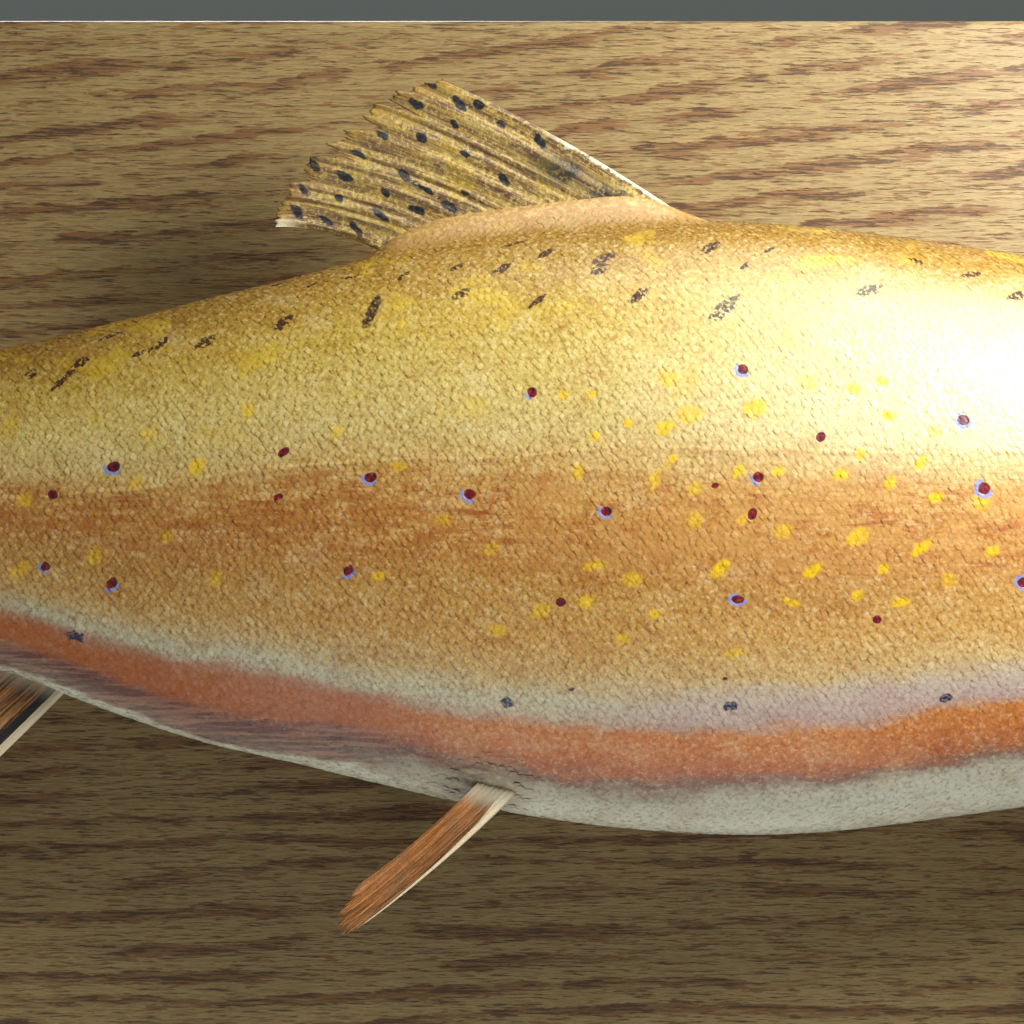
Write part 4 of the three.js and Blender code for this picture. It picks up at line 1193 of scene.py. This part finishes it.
def makeEye(name, material):
    # a lens: rings from the middle of the pupil over the front and round the back, an ellipse each way
    low, high = (np.array(corner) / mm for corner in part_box(name))
    middle, half = (low + high) / 2, (high - low) / 2 * eye["fill"]
    out = -1 if name.endswith("right") else 1
    tilt = np.linspace(0, np.pi, eye["rings"] + 1)[1:-1]
    spoke = np.linspace(0, 2 * np.pi, eye["spokes"], endpoint=False)
    a, b = np.meshgrid(tilt, spoke, indexing="ij")
    reach = np.sin(a)
    points = np.stack([reach * np.cos(b), out * np.cos(a), reach * np.sin(b)], -1).reshape(-1, 3)
    flat = np.concatenate([points, [[0, out, 0], [0, -out, 0]]]) * half + middle
    faces = tubeFaces(*a.shape)
    if out > 0:
        faces = [f[:, ::-1] for f in faces]
    piece = makePiece(name, flat, faces, material)
    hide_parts(name)
    face = np.where(a < np.pi / 2, reach, 2 - reach)
    place = np.stack([face * np.cos(b), face * np.sin(b)], -1).reshape(-1, 2)
    addMap(piece, "eyeMap", np.concatenate([place, [[0, 0], [2, 0]]]))


eyeMaterial = makeEyeMaterial()
for name in ("eye_right", "eye_left"):
    makeEye(name, eyeMaterial)
print("eyes set")


oak = {
    "ring": 5.6,  # mm between growth rings on the face
    "pale": rgb(164, 142, 92),
    "olive": rgb(140, 118, 72),
    "late": rgb(120, 78, 38),
    "pore": rgb(58, 40, 24),
}


def makeOakMaterial():
    # growth rings as a saw wave of the height, tilted and warped by slow noise, which only raises how many of
    # the short ragged flecks turn dark; pores are thinner dashes among them
    material, p = newMaterial("varnishedOak", {"Coat Weight": 0.3, "Coat Roughness": 0.3})
    between, cloud, times, lay = p.between, p.cloud, p.times, p.lay
    x, y, z = p.axes(p.place)
    height = p.plus(z, times(y, 0.6))
    height = p.maths("SUBTRACT", height, times(x, between(z, -0.06, 0.1, 0.02, 0.12)))
    height = p.spread(height, cloud((7, 20, 40), 2), 0.014)
    height = p.spread(height, cloud((90, 120, 420), 4, 0.6), 0.005)
    phase = p.maths("FRACT", times(height, 1000 / oak["ring"]))
    patch = between(cloud((26, 50, 150)), 0.36, 0.6, 0.02, 0.22)
    raised = times(between(phase, 0.35, 0.75), between(phase, 1.0, 0.9), patch)
    fibre = cloud((150, 600, 1700), 3, 0.7)
    p.colour = p.mixed(between(fibre, 0.38, 0.6), oak["olive"], oak["pale"])
    lay(between(p.plus(fibre, raised), 0.54, 0.64, 0, 0.85), oak["late"])
    dashes = cloud((190, 800, 2600), 3, 0.7)
    lay(between(dashes, 0.5, 0.58, 0, 0.35), oak["late"])
    pores = between(p.plus(dashes, times(raised, 0.5)), 0.58, 0.66)
    lay(pores, oak["pore"], 0.75)
    p.finish(between(fibre, 0.3, 0.7, 0.42, 0.6), p.maths("SUBTRACT", fibre, pores), 0.5, 0.0003)
    return material


def makePineMaterial():
    material, p = newMaterial("pineBlock", {"Roughness": 0.7})
    rings = p.node("TexWave", p.stretched((8, 30, 60)), 2.0, 3.0, 2.0, out=1, bands_direction="Z")
    fibre = p.cloud((20, 400, 700))
    p.colour = p.mixed(rings, rgb(220, 184, 128), rgb(190, 142, 84))
    p.mottle((fibre, 0.5, 0.7, 0.4, (164, 116, 66)))
    p.finish(None, fibre, 0.3)
    return material


def makeSteelMaterial():
    material, p = newMaterial("zincScrew", {"Metallic": 1.0})
    worn = p.cloud(900, 4)
    p.colour = p.mixed(worn, rgb(190, 188, 180), rgb(140, 136, 126))
    p.finish(p.between(worn, 0.3, 0.7, 0.28, 0.5))
    return material


def dress(node, material):
    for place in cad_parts[node].material_slots:
        place.material = material


dress("plaque", makeOakMaterial())
dress("mounting_block", makePineMaterial())
steel = makeSteelMaterial()
for node in ("fixing_screw_1", "fixing_screw_2"):
    dress(node, steel)
print("board, block and screws finished")


studio = {
    # power in watts, size, place and aim in metres, colour
    "key": (1.3, 0.12, (0.2, -0.2, 0.14), (0.04, -0.03, 0.0), (1, 0.98, 0.93)),
    "top": (0.65, 0.25, (0.12, -0.12, 0.35), (0.04, -0.03, 0.0), (1, 0.99, 0.96)),
    "under": (0.3, 0.3, (0.0, -0.25, -0.3), (0.04, -0.03, 0.0), (1, 1, 1)),
    "behind": (20.0, 0.8, (-0.4, 1.3, 0.5), (0, 0.2, -0.45), (1, 1, 1)),
    "world": (0.1, 0.11, 0.104),
    "floorDepth": 0.45,
    "floorReach": 3,
}


def addLamp(name, power, size, at, aim, colour):
    lamp = bpy.data.objects.new(name, bpy.data.lights.new(name, "AREA"))
    lamp.data.energy = power
    lamp.data.size = size
    lamp.data.color = colour
    lamp.location = at
    lamp.rotation_euler = (Vector(aim) - Vector(at)).to_track_quat("-Z", "Y").to_euler()
    lamp.visible_camera = False
    bpy.context.scene.collection.objects.link(lamp)


for name in ("key", "top", "under", "behind"):
    addLamp(name, *studio[name])

world = bpy.data.worlds.new("studio")
world.use_nodes = True
world.node_tree.nodes["Background"].inputs[0].default_value = (*studio["world"], 1)
bpy.context.scene.world = world
bpy.context.scene.view_settings.view_transform = "Standard"

floorMesh = bpy.data.meshes.new("floor")
reach = studio["floorReach"]
corners = [(-reach, -reach), (reach, -reach), (reach, reach), (-reach, reach)]
floorMesh.from_pydata([(a, b, -studio["floorDepth"]) for a, b in corners], [], [(0, 1, 2, 3)])
floor = bpy.data.objects.new("floor", floorMesh)
bpy.context.scene.collection.objects.link(floor)
floorMesh.materials.append(newMaterial("paleFloor", {"Base Color": rgb(232, 230, 224), "Roughness": 0.8})[0])
print("lights and floor set")
